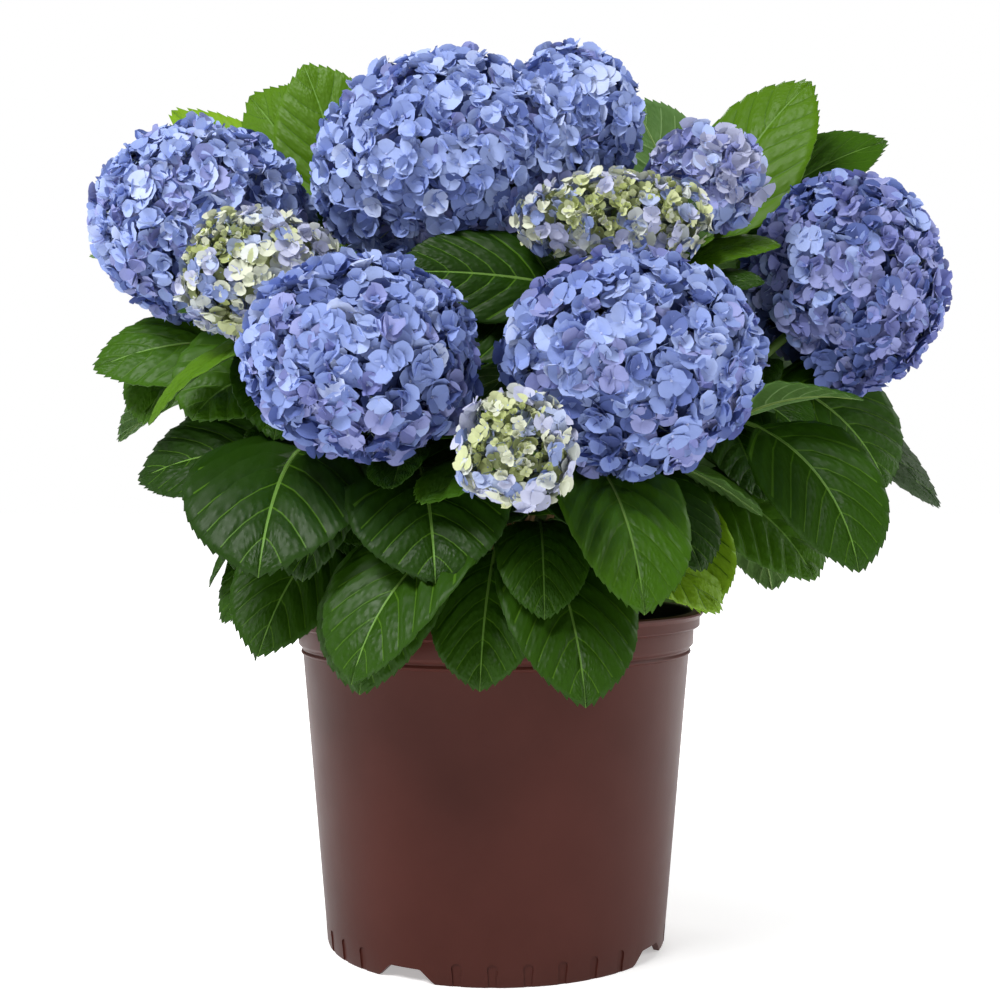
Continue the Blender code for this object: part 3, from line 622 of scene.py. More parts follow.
class Joined:
    """Many small shapes gathered as arrays, and made one mesh at the end."""

    def __init__(self):
        self.points = []
        self.faces = []
        self.tints = []
        self.marks = []
        self.count = 0

    def add(self, points, faces, tints, marks=None):
        """Adds one shape: its points, faces, each face's material and each point's place on the blade."""
        self.points.append(points)
        self.faces += [tuple(corner + self.count for corner in face) for face in faces]
        self.tints += list(tints)
        if marks is not None:
            self.marks.append(marks)
        self.count += len(points)

    def build(self, name, materials, smooth=True):
        """The gathered shapes as one object."""
        mesh = bpy.data.meshes.new(name)
        mesh.from_pydata(np.vstack(self.points).tolist(), [], self.faces)
        for material in materials:
            mesh.materials.append(material)
        mesh.polygons.foreach_set("material_index", np.array(self.tints, dtype=np.int32))
        if self.marks:
            corners = np.array([corner for face in self.faces for corner in face])
            layer = mesh.uv_layers.new(name="blade")
            layer.data.foreach_set("uv", np.vstack(self.marks)[corners].astype(np.float32).ravel())
        if smooth:
            mesh.shade_smooth()
        mesh.update()
        return put(name, mesh)


def bezier_rows(ends, shares):
    """Points and directions of a cubic Bezier curve at many shares."""
    start, first, second, end = (np.array(point) for point in ends)
    share = shares[:, None]
    rest = 1 - share
    points = start * rest**3 + first * (3 * rest**2 * share)
    points = points + second * (3 * rest * share**2) + end * share**3
    ways = (first - start) * rest**2 + (second - first) * (2 * rest * share) + (end - second) * share**2
    return points, ways / np.linalg.norm(ways, axis=1)[:, None]


def crossed(ways, other):
    """Unit vectors square to each row of two sets of vectors."""
    cross = np.cross(ways, other)
    return cross / np.maximum(np.linalg.norm(cross, axis=1), 1e-9)[:, None]


STEADY, OTHER_STEADY = np.array((0.31, 0.17, 0.93)), np.array((0.93, 0.31, 0.17))  # near no stalk's run


def sweep(points, radii, sides, start_cap=True):
    """A tube along points, as arrays of its points and faces, with a closed tip and foot."""
    points = np.array([tuple(point) for point in points])
    ways = np.gradient(points, axis=0)
    ways /= np.linalg.norm(ways, axis=1)[:, None]
    steady = STEADY if abs(ways[0][2]) < 0.9 else OTHER_STEADY
    side = crossed(ways, steady[None, :].repeat(len(points), 0))
    normal = np.cross(side, ways)
    angles = (np.arange(sides) * 2 * math.pi / sides)[None, :, None]
    ring = side[:, None, :] * np.cos(angles) + normal[:, None, :] * np.sin(angles)
    shell = points[:, None, :] + ring * np.array(radii)[:, None, None]
    faces = []
    for row in range(len(points) - 1):
        for step in range(sides):
            after = (step + 1) % sides
            here, there = row * sides, (row + 1) * sides
            faces.append((here + step, here + after, there + after, there + step))
    last = (len(points) - 1) * sides
    faces.append(tuple(last + step for step in range(sides)))
    if start_cap:
        faces.append(tuple(range(sides - 1, -1, -1)))
    return shell.reshape(-1, 3), faces


# ---------------------------------------------------------------- leaves

VEINS = 7  # lateral veins on each side of a large leaf's midrib
SMALL_VEINS = 5
SMALL_LEAF = 0.092  # a leaf shorter than this has fewer veins
VEIN_HALF = 0.0065  # half a vein's width, as a share of the blade's length
VEIN_SINK = 0.012  # how far the veins lie below the blade, as a share of its half width
COLUMNS = (0.24, 0.50, 0.75, 0.92, 1.0)  # places of the blade's lines from midrib to margin
SMALL_COLUMNS = (0.34, 0.72, 1.0)
MIDRIB_HALF = 0.034  # half the midrib's width at the base, as a share of the blade's half width
QUILT = 0.150  # how far the blade rises between veins, as a share of its half width
OUTLINE = (
    (0.00, 0.00),
    (0.03, 0.30),
    (0.08, 0.55),
    (0.15, 0.76),
    (0.24, 0.91),
    (0.35, 0.99),
    (0.46, 1.00),
    (0.58, 0.97),
    (0.69, 0.89),
    (0.78, 0.77),
    (0.86, 0.59),
    (0.92, 0.38),
    (0.96, 0.19),
    (1.00, 0.00),
)
BLADE_THICKNESS = 0.00045
BLADE_SPREAD = 1.07  # how much broader a leaf is than its coarse form
LEAF_TINTS = 5
VEIN_SLOT, MIDRIB_SLOT, UNDER_SLOT = LEAF_TINTS, LEAF_TINTS + 1, LEAF_TINTS + 2


def outline(share):
    """The blade's half width at a share of its length: broad and round, drawn out to a short tip."""
    return float(np.interp(share, *zip(*OUTLINE)))


LEAD, LEAD_RISE, LEAD_FALL, LEAD_CURVE = 0.60, 0.14, 0.90, 1.45  # how the veins sweep forward


def vein_lead(row):
    """How far forward a lateral vein meets the margin, from where it leaves the midrib."""
    return LEAD * (1 - math.exp(-row / LEAD_RISE)) * (1 - row) ** LEAD_FALL


FIRST_VEIN, VEIN_RUN, VEIN_CROWDING = 0.035, 0.80, 1.12  # where the veins leave the midrib
BASE_ROWS, BASE_CRESTS, TIP_CREST = [0.0, 0.007, 0.017], [0.0, 0.2, 0.2], 0.6
VEIN_TAPER, MIDRIB_TAPER = 0.5, 0.8
MIDRIB_SINK = 0.035
TOOTH_AT, TOOTH_OUT = 0.85, 0.15  # of a tooth's tip, as shares of the margin's run between two rows


def blade_rows(veins):
    """The rows of a blade: their places on the midrib, how high they rise, and what lies between them."""
    spots = [FIRST_VEIN + VEIN_RUN * (rank / (veins - 1)) ** VEIN_CROWDING for rank in range(veins)]
    rows, crests, kinds = list(BASE_ROWS), list(BASE_CRESTS), ["panel", "panel"]
    for rank, spot in enumerate(spots):
        half = VEIN_HALF * (1 - VEIN_TAPER * spot)
        if rank:
            rows.append((spots[rank - 1] + spot) / 2)
            crests.append(1.0)
            kinds.append("panel")
        rows += [spot - half, spot + half]
        crests += [0.0, 0.0]
        kinds += ["panel", "vein"]
    rows += [(spots[-1] + 1) / 2, 1.0]
    crests += [TIP_CREST, 0.0]
    kinds += ["panel", "panel"]
    return rows, crests, kinds


QUILT_START, QUILT_RUN, QUILT_FULLNESS, QUILT_TAPER = 0.10, 0.88, 0.6, 0.4


def blade_height(row, crest, share):
    """How high the blade lies at a row, a share of the way from midrib to margin."""
    lift = QUILT * crest * math.sin(math.pi * min(1, share * QUILT_RUN + QUILT_START)) ** QUILT_FULLNESS
    sink = VEIN_SINK if crest == 0 and 0 < row < 1 else 0
    return lift * (1 - QUILT_TAPER * row) - sink


def leaf_blank(veins, columns):
    """A flat leaf of unit length, whose rows of faces follow the lateral veins, as arrays."""
    rows, crests, kinds = blade_rows(veins)
    wide = 2 * len(columns) + 3
    points, marks, tints, faces = [], [], [], []
    for row, crest in zip(rows, crests):
        rib = MIDRIB_HALF * (1 - MIDRIB_TAPER * row)
        lead = vein_lead(row)
        end = max(outline(row + lead), rib)
        for side, run in ((-1, columns[::-1]), (1, columns)):
            margin = []
            for share in run:
                out = side * (rib + share * (end - rib))
                margin.append((row + lead * share**LEAD_CURVE, out, blade_height(row, crest, share)))
            if side < 0:
                points += [*margin, (row, -rib, 0.0), (row, 0.0, -MIDRIB_SINK * (1 - row)), (row, rib, 0.0)]
                marks += [*((row, 0.5 - share / 2) for share in run), *[(row, 0.5)] * 3]
            else:
                points += margin
                marks += [(row, 0.5 + share / 2) for share in run]
    for rank, kind in enumerate(kinds):
        for step in range(wide - 1):
            at = rank * wide + step
            faces.append((at, at + 1, at + 1 + wide, at + wide))
            tint = VEIN_SLOT if kind == "vein" and step not in (0, wide - 2) else 0
            tints.append(MIDRIB_SLOT if step in (wide // 2 - 1, wide // 2) else tint)
    for edge in (0, wide - 1):
        for rank in range(2, len(rows) - 2):
            here, there = rank * wide + edge, (rank + 1) * wide + edge
            first, second = np.array(points[here]), np.array(points[there])
            run = second - first
            out = np.array((-run[1], run[0], 0.0)) * (1 if first[1] > 0 else -1)
            face = (here, len(points), there)
            points.append(tuple(first + run * TOOTH_AT + out * TOOTH_OUT))
            marks.append((rows[rank], 1.0 if edge else 0.0))
            faces.append(face if edge else face[::-1])
            tints.append(0)
    return merged(points, marks, faces, tints)


def merged(points, marks, faces, tints):
    """The blank with its points at the base and the tip run together, and empty faces left out."""
    table, keep, kept_points, kept_marks = {}, [], [], []
    for point, mark in zip(points, marks):
        key = tuple(round(value, 5) for value in point)
        if key not in table:
            table[key] = len(kept_points)
            kept_points.append(point)
            kept_marks.append(mark)
        keep.append(table[key])
    kept_faces, kept_tints = [], []
    for face, tint in zip(faces, tints):
        corners = []
        for corner in face:
            if keep[corner] not in corners:
                corners.append(keep[corner])
        if len(corners) > 2:
            kept_faces.append(tuple(corners))
            kept_tints.append(tint)
    return np.array(kept_points), kept_faces, np.array(kept_tints), np.array(kept_marks)


def blade_frame(blade, shares):
    """Places, directions, sideways and upward vectors along a leaf's midrib, as in the source's leaf."""
    ends = leaf_curve(blade["start"], blade["tip"], blade["arch"])
    points, ways = bezier_rows(ends, shares)
    side = crossed(ways, np.array((0.0, 0.0, 1.0))[None, :].repeat(len(shares), 0))
    level = np.array((blade["tip"] - blade["start"]).cross(UP))
    side *= np.where(side @ level < 0, -1.0, 1.0)[:, None]
    normal = np.cross(side, ways)
    turn = math.radians(blade["roll"]) * np.minimum(1, shares / FULL_ROLL)
    cos, sin = np.cos(turn)[:, None], np.sin(turn)[:, None]
    turned_side = side * cos + np.cross(ways, side) * sin
    return points, ways, turned_side, np.cross(turned_side, ways)


FOLDS, FOLD_CURVE = (-0.10, 0.22), 1.6  # how far the blade folds up from its midrib
WAVES, WAVE_COUNT, WAVE_SHIFT = (0.02, 0.07), (7, 12), (0.3, 1.4)
SKEW = 0.06


def lay_leaf(blade, blank, rng):
    """A blank bent along a leaf's midrib, with its own fold, waves and twist."""
    points = blank[0]
    length = (blade["tip"] - blade["start"]).length
    half = blade["width"] * BLADE_SPREAD * length / 2
    shares = PETIOLE_SHARE + np.clip(points[:, 0], 0, 1) * (1 - PETIOLE_SHARE)
    middle, _, side, normal = blade_frame(blade, shares)
    along, sideways = points[:, 0], points[:, 1]
    across = np.abs(sideways)
    fold = rng.uniform(*FOLDS)
    wave = rng.uniform(*WAVES)
    phase = rng.uniform(0, 2 * math.pi)
    waves = np.sin(along * rng.uniform(*WAVE_COUNT) + phase + np.sign(sideways) * rng.uniform(*WAVE_SHIFT))
    skew = rng.uniform(-SKEW, SKEW)
    height = points[:, 2] + fold * across**FOLD_CURVE + wave * waves * across**2 * np.sin(np.pi * shares)
    height += skew * sideways * np.sin(math.pi * along)
    return middle + side * (sideways * half)[:, None] + normal * (height * half)[:, None]


RIB_PLACES, RIB_RADII = (0, 0.03, PETIOLE_SHARE, 0.4, 0.94), (1.35, 0.95, 0.8, 0.48, 0.14)
RIB_SHARES = np.concatenate((np.linspace(0.0, PETIOLE_SHARE, 5), np.linspace(0.24, 0.94, 7)))
RIB_DROP = 0.45  # how far the rib hangs below the blade, as a share of the stalk's thickness
FULL_STALK = 0.12  # leaves shorter than this have thinner stalks


def lay_petiole(blade, stems, rng):
    """The leaf's stalk, which runs on below the blade as its midrib."""
    middle, _, _, normal = blade_frame(blade, np.maximum(RIB_SHARES, 0.002))
    length = (blade["tip"] - blade["start"]).length
    thick = PETIOLE_RADIUS * min(1.0, length / FULL_STALK)
    drop = np.where(RIB_SHARES > PETIOLE_SHARE + 0.01, thick * RIB_DROP, 0.0)
    radii = np.interp(RIB_SHARES, RIB_PLACES, RIB_RADII) * thick
    points, faces = sweep(middle - normal * drop[:, None], radii, 6)
    stems.add(points, faces, [rng.choice((0, 0, 1))] * len(faces))


# ---------------------------------------------------------------- flower heads

PETAL_LENGTH = 0.0100
PETAL_ROWS = (0.05, 0.40, 0.76, 1.0)  # places of the sepal's lines, from its foot to its end
PETAL_HALVES = (0.10, 0.48, 0.57, 0.27)
PLAIN_ROWS = (0.05, 0.55, 1.0)
PLAIN_HALVES = (0.12, 0.62, 0.36)
CUP_ROWS = (0.10, 0.55, 1.0)
CUP_HALVES = (0.14, 0.43, 0.24)
HEAD_SPACING = 0.0098
YOUNG_SPACING = 0.0062
YOUNG_DEPTH = (0.0040, 0.0080)  # of the outer and the inner florets
LIME_REACH = 0.85  # how far the green cups spread from the middle of a young head, as a cosine
LIME_PATCHES = 0.70  # how much that edge wanders
OPEN_SHARE = 0.62  # of the places past it that have an open floret
OUTER_DEPTH, INNER_DEPTH = 0.0100, 0.0170
PALE, LIGHT, PERIWINKLE, LAVENDER, VIOLET, DEEP, GREY, SHADE = range(8)
# The inner layer's tints are painted shade, deeper than the florets' own blue; SHADE is the deepest.
SHADE_TINTS = (DEEP, SHADE, SHADE)
LIT_HEADS = ("top", "left", "upper_right")  # those lit most by the key: painted light, their inner florets are painted lighter too
LIT_SHADE_TINTS = (VIOLET, DEEP, DEEP)
CREVICE_SHADE_GAP = 0.034  # nearer than this to another head, florets that face it take deeper tints: painted shade in the crevice between heads
# Painted shade: how many tints deeper a floret turns when it faces a near head.
CREVICE_SHADE_TINTS = 5.0
UNDERSIDE_SHADE_TINTS = 3.4  # how many tints deeper the florets that face straight down are painted: painted shade on the head's underside
HEAD_TINTS = {
    "blue": (PALE, LIGHT, LIGHT, LIGHT, PERIWINKLE, PERIWINKLE, PERIWINKLE, LAVENDER, VIOLET, DEEP),
    "mauve": (LIGHT, LIGHT, PERIWINKLE, LAVENDER, LAVENDER, VIOLET, VIOLET, DEEP),
    "upper_right": (PALE, GREY, GREY, GREY, LAVENDER, LAVENDER, LIGHT),
    # The top and left heads take more pale tints: painted light where the key falls on them.
    "top": (PALE, PALE, LIGHT, LIGHT, LIGHT, LIGHT, PERIWINKLE, PERIWINKLE, PERIWINKLE, LAVENDER, DEEP),
    "left": (PALE, PALE, PALE, LIGHT, LIGHT, LIGHT, LIGHT, LAVENDER, PERIWINKLE, PERIWINKLE, DEEP),
}
TINT_COUNT = 8
HEART_SLOT = TINT_COUNT
YOUNG_FIRST = TINT_COUNT + 1


PETAL_SIZES, PETAL_TURN, PETAL_TILT, PETAL_TWIST = (0.88, 1.08), 0.12, 9, 0.30
PETAL_CURL, CUP_CURL = (-0.25, 0.30), (-0.30, 0.45)
PETAL_ROUND, PETAL_HOLLOW, PETAL_LAP = 0.07, 0.20, 0.04
HEART_RADIUS, HEART_FOOT, HEART_TOP = 0.12, 0.05, 0.22


def floret_blank(cup, seed, rows=PETAL_ROWS, halves=PETAL_HALVES, curl=PETAL_CURL):
    """A floret of four broad sepals round a small bead, as arrays; cup lifts the sepals off the flat."""
    rng = random.Random(seed)
    points, faces, tints = [], [], []
    for petal in range(4):
        angle = petal * math.pi / 2 + rng.uniform(-PETAL_TURN, PETAL_TURN)
        cos, sin = math.cos(angle), math.sin(angle)
        size = rng.uniform(*PETAL_SIZES)
        tilt = math.radians(cup + rng.uniform(-PETAL_TILT, PETAL_TILT))
        bend = rng.uniform(*curl)
        twist = rng.uniform(-PETAL_TWIST, PETAL_TWIST)
        base = len(points)
        for share, half in zip(rows, halves):
            for step in (-1, 0, 1):
                out = (share - (PETAL_ROUND if step and share == 1.0 else 0)) * size
                side = step * half * size
                lift = bend * share**2 + PETAL_HOLLOW * abs(step) * half + twist * side * share
                reach = out * math.cos(tilt) - lift * math.sin(tilt)
                up = out * math.sin(tilt) + lift * math.cos(tilt) + PETAL_LAP * (petal % 2)
                points.append((reach * cos - side * sin, reach * sin + side * cos, up))
        for row in range(len(rows) - 1):
            for step in range(2):
                at = base + row * 3 + step
                faces.append((at, at + 3, at + 4, at + 1))
                tints.append(0)
    base = len(points)
    for step in range(4):
        angle = step * math.pi / 2
        points.append((HEART_RADIUS * math.cos(angle), HEART_RADIUS * math.sin(angle), HEART_FOOT))
    points.append((0, 0, HEART_TOP))
    for step in range(4):
        faces.append((base + step, base + (step + 1) % 4, base + 4))
        tints.append(HEART_SLOT)
    return np.array(points) * PETAL_LENGTH, faces, np.array(tints)


def head_balls(item):
    """The round forms that make up a flower head."""
    balls = [(item["centre"], item["radii"])]
    if item["lobe"]:
        middle, radius = item["lobe"]
        balls.append((middle, Vector((radius, radius, radius))))
    return balls


RANK_JITTER, TURN_JITTER = (0.2, 0.8), 0.12
BURIED = 0.95  # inside this share of the other form of the same head there are no florets
BARE_FOOT = STEM_OPENING + 0.12  # how near to its stem a head stays bare, as a cosine


def head_places(item, spacing, depth, rng):
    """Places over a flower head at a depth below its skin, each with its outward normal."""
    golden = math.pi * (3 - math.sqrt(5))
    balls = head_balls(item)
    for centre, radii in balls:
        area = 4 * math.pi * (radii.x * radii.y * radii.z) ** (2 / 3)
        count = round(area / spacing**2)
        start = rng.uniform(0, 2 * math.pi)
        for rank in range(count):
            high = max(-1, min(1, 1 - 2 * (rank + rng.uniform(*RANK_JITTER)) / count))
            flat = math.sqrt(1 - high * high)
            angle = golden * rank + start + rng.uniform(-TURN_JITTER, TURN_JITTER)
            way = Vector((flat * math.cos(angle), flat * math.sin(angle), high))
            skin = Vector(way[axis] * (radii[axis] - depth) for axis in range(3)) + centre
            normal = Vector(way[axis] / radii[axis] for axis in range(3)).normalized()
            others = [ball for ball in balls if ball[0] is not centre]
            buried = any(
                sum(((skin[axis] - mid[axis]) / (span[axis] - depth)) ** 2 for axis in range(3)) < BURIED
                for mid, span in others
            )
            if buried or normal.dot(-facing(item)) > BARE_FOOT:
                continue
            yield skin, normal


def turned_to(normal, spin, tilt, lean):
    """The turn that faces a floret along a normal, spun about it and tilted off it."""
    turn = UP.rotation_difference(normal).to_matrix()
    for angle, axis in ((lean, "Z"), (tilt, "X"), (spin, "Z")):
        turn = turn @ Matrix.Rotation(angle, 3, axis)
    return turn


INNER_TILT = 24


def place_floret(at, normal, blank, size, tint, florets, rng, tilt=INNER_TILT):
    """One floret, set in its head with a small tilt of its own."""
    lean, spin = rng.uniform(0, 2 * math.pi), rng.uniform(0, 2 * math.pi)
    turn = turned_to(normal, spin, math.radians(abs(rng.gauss(0, tilt))), lean)
    points, faces, tints = blank
    placed = points * size @ np.array(turn).T + np.array(at)
    florets.add(placed, faces, np.where(tints == 0, tint, tints))


def crevice_shade(item, skin, normal, shoots):
    """How much a floret faces another flower head close by, from 0 to 1: how strong its painted shade is."""
    most = 0.0
    for other in shoots:
        if other is item or other["radii"] is None:
            continue
        for centre, radii in head_balls(other):
            gap = centre - skin
            near = 1 - max(0.0, gap.length - sum(radii) / 3) / CREVICE_SHADE_GAP
            most = max(most, max(0.0, near) * max(0.0, normal.dot(gap.normalized())))
    return most**2


PATCH_SCALE, PATCH_SPAN, PATCH_SCATTER = 30, 2.4, 2.2  # of the tints over a full head
SHADED = (0.30, 0.60)  # crowded more than this, a floret takes the painted shade tint
SKIN_SCALE, SKIN_WAVES, SKIN_JITTER = 22, 0.0045, (-0.0035, 0.0025)
FLORET_SIZES, FLORET_TILT = (0.76, 1.12), 29
INNER_SIZES, INNER_SPACING = (0.95, 1.2), HEAD_SPACING * 1.25


def grow_head(item, florets, stems, blanks, plain, shoots):
    """A full flower head: an outer and an inner layer of florets on a branching of fine stalks."""
    rng = random.Random("head " + item["name"])
    tints = HEAD_TINTS.get(item["name"], HEAD_TINTS[item["colour"]])
    shade = LIT_SHADE_TINTS if item["name"] in LIT_HEADS else SHADE_TINTS
    ends = []
    for skin, normal in head_places(item, HEAD_SPACING, OUTER_DEPTH, rng):
        patch = noise.noise(skin * PATCH_SCALE) * PATCH_SPAN + rng.gauss(0, PATCH_SCATTER)
        patch = patch + len(tints) / 2 - 0.5
        crowded = crevice_shade(item, skin, normal, shoots)
        # Painted shade: florets that face down take deeper tints, and so do those that face a near head.
        patch = round(patch + UNDERSIDE_SHADE_TINTS * max(0, -normal.z - 0.05) + CREVICE_SHADE_TINTS * crowded)
        tint = tints[max(0, min(len(tints) - 1, patch))]
        # Painted shade: a floret deep in a crevice between heads takes the shade tint.
        if crowded > rng.uniform(*SHADED):
            tint = SHADE
        at = skin + normal * (SKIN_WAVES * noise.noise(skin * SKIN_SCALE) + rng.uniform(*SKIN_JITTER))
        blank, size = rng.choice(blanks), rng.uniform(*FLORET_SIZES)
        place_floret(at, normal, blank, size, tint, florets, rng, FLORET_TILT)
        ends.append(at)
    for skin, normal in head_places(item, INNER_SPACING, INNER_DEPTH, rng):
        tint = rng.choice(shade)
        place_floret(skin, normal, rng.choice(plain), rng.uniform(*INNER_SIZES), tint, florets, rng)
    branch_stalks(item, ends, stems, rng)


LIME_SCALE, LIME_JITTER = 48, 0.14
YOUNG_SCALE, YOUNG_WAVES, YOUNG_JITTER = 34, 0.006, (-0.0025, 0.0025)
CUP_SIZES, CUP_TILT, CUP_TINTS = (0.38, 0.60), 34, (0, 0, 1, 1, 2, 2)
OPEN_SIZES, OPEN_TILT, OPEN_RISE = (0.52, 0.80), 32, 0.002
OPEN_TINTS = (1, 2, 2, 3, 3, 4, 4, 4, 5, 7)
# The young heads' inner layer: olive is the buds' green, darkened as painted shade between the cups.
YOUNG_INNER_SIZES, YOUNG_INNER_SPACING, YOUNG_INNER_TINTS = (0.50, 0.70), YOUNG_SPACING * 1.5, (0, 5, 6)


def grow_young_head(item, florets, stems, blanks, plain, cups):
    """A young flower head: small green cups crowded in its middle, with paler florets open round them."""
    rng = random.Random("young " + item["name"])
    middle = Vector((item["centre"].x, item["centre"].y, 0)).normalized() + UP * 0.4
    middle.normalize()
    ends = []
    for skin, normal in head_places(item, YOUNG_SPACING, YOUNG_DEPTH[0], rng):
        edge = LIME_PATCHES * noise.noise(skin * LIME_SCALE) + rng.uniform(-LIME_JITTER, LIME_JITTER)
        at = skin + normal * (YOUNG_WAVES * noise.noise(skin * YOUNG_SCALE) + rng.uniform(*YOUNG_JITTER))
        if normal.dot(middle) > LIME_REACH + edge:
            size, tint = rng.uniform(*CUP_SIZES), YOUNG_FIRST + rng.choice(CUP_TINTS)
            place_floret(at, normal, rng.choice(cups), size, tint, florets, rng, CUP_TILT)
        elif rng.random() < OPEN_SHARE:
            size, tint = rng.uniform(*OPEN_SIZES), YOUNG_FIRST + rng.choice(OPEN_TINTS)
            out = at + normal * OPEN_RISE
            place_floret(out, normal, rng.choice(blanks), size, tint, florets, rng, OPEN_TILT)
        else:
            continue
        ends.append(at)
    for skin, normal in head_places(item, YOUNG_INNER_SPACING, YOUNG_DEPTH[1], rng):
        tint = YOUNG_FIRST + rng.choice(YOUNG_INNER_TINTS)
        place_floret(skin, normal, rng.choice(plain), rng.uniform(*YOUNG_INNER_SIZES), tint, florets, rng)
    branch_stalks(item, ends, stems, rng)


FORKS, FORK_TURN, FORK_REACH, FORK_JITTER = 9, 2.4, 0.45, 0.002
BRANCH_RADII, STALK_RADII = (0.0011, 0.0009, 0.0007), (0.0006, 0.00045)


def branch_stalks(item, ends, stems, rng):
    """The fine stalks of a flower head, which fork from the stem's end to every floret."""
    foot = bezier(item["path"], SHOOT_END)
    forks = []
    for centre, radii in head_balls(item):
        for rank in range(FORKS):
            high = 1 - 2 * (rank + 0.5) / FORKS
            flat = math.sqrt(1 - high * high)
            way = Vector((flat * math.cos(FORK_TURN * rank), flat * math.sin(FORK_TURN * rank), high))
            forks.append(centre + Vector(way[axis] * radii[axis] * FORK_REACH for axis in range(3)))
    for fork in forks:
        middle = (foot + fork) / 2 + Vector(rng.uniform(-FORK_JITTER, FORK_JITTER) for _ in range(3))
        points, faces = sweep((foot, middle, fork), BRANCH_RADII, 5)
        stems.add(points, faces, [1] * len(faces))
    for end in ends:
        fork = min(forks, key=lambda spot: (spot - end).length_squared)
        points, faces = sweep((fork, end), STALK_RADII, 3, start_cap=False)
        stems.add(points, faces, [2] * len(faces))


# ---------------------------------------------------------------- operators


def clear_selection():
    """Leaves nothing selected."""
    if bpy.context.object and bpy.context.object.mode != "OBJECT":
        bpy.ops.object.mode_set(mode="OBJECT")
    bpy.ops.object.select_all(action="DESELECT")


def make_active(piece):
    """Selects one piece alone."""
    clear_selection()
    piece.select_set(True)
    bpy.context.view_layer.objects.active = piece


def named(name):
    """Names the object that an operator has just added."""
    piece = bpy.context.object
    piece.name = name
    piece.data.name = name
    return piece


def set_place(piece):
    """Puts a piece's place and turn into its mesh, so that its object sits at the origin."""
    make_active(piece)
    bpy.ops.object.transform_apply(location=True, rotation=True, scale=True)


def apply_modifiers(piece):
    """Applies every modifier of a piece, in order."""
    make_active(piece)
    for modifier in list(piece.modifiers):
        bpy.ops.object.modifier_apply(modifier=modifier.name)


def edit_faces():
    """Opens the active piece for editing, with every face selected."""
    bpy.ops.object.mode_set(mode="EDIT")
    bpy.ops.mesh.select_mode(type="FACE")
    bpy.ops.mesh.select_all(action="SELECT")


def select_faces(piece, wanted):
    """Selects the faces of the piece being edited that a test on centre and normal picks."""
    bm = bmesh.from_edit_mesh(piece.data)
    for face in bm.faces:
        face.select_set(False)
    for face in bm.faces:
        if wanted(face.calc_center_median(), face.normal):
            face.select_set(True)
    bm.select_flush_mode()
    bmesh.update_edit_mesh(piece.data)


def extrude_to(radius, height, old_radius, old_height):
    """Extrudes the selected round face to a new height, and scales it to a new radius."""
    bpy.ops.mesh.extrude_region_move(TRANSFORM_OT_translate={"value": (0, 0, height - old_height)})
    scale = radius / old_radius
    bpy.ops.transform.resize(value=(scale, scale, 1), center_override=(0, 0, height))


def close_shell():
    """Turns every face of the piece being edited outwards."""
    bpy.ops.mesh.select_all(action="SELECT")
    bpy.ops.mesh.normals_make_consistent(inside=False)


def subtract(piece, cutter):
    """Cuts one piece out of another, and removes the cutter."""
    make_active(piece)
    cutting = piece.modifiers.new("cut", "BOOLEAN")
    cutting.operation = "DIFFERENCE"
    cutting.solver = "EXACT"
    cutting.object = cutter
    bpy.ops.object.modifier_apply(modifier=cutting.name)
    mesh = cutter.data
    bpy.data.objects.remove(cutter)
    bpy.data.meshes.remove(mesh)


def join(pieces):
    """Joins several pieces into the first."""
    clear_selection()
    for piece in pieces:
        piece.select_set(True)
    bpy.context.view_layer.objects.active = pieces[0]
    bpy.ops.object.join()
    return pieces[0]


# ---------------------------------------------------------------- pot, soil, stem, canes


POT_SIDES = 192
FOOT_ROUND = 0.0006
BEAD_FOOT = BEAD_HEIGHT - 0.0015
FLARE_HEIGHT = BEAD_HEIGHT - 0.006  # where the inside turns out towards the band
FLOOR_TOP = FLOOR_UNDERSIDE + WALL


def wall_radius(height):
    """The outer radius of the pot's plain wall."""
    share = height / BEAD_FOOT
    return WALL_FOOT_RADIUS + (WALL_TOP_RADIUS - WALL_FOOT_RADIUS) * share


def pot_inside(height):
    """The inner radius of the pot's wall."""
    return wall_radius(height) - WALL


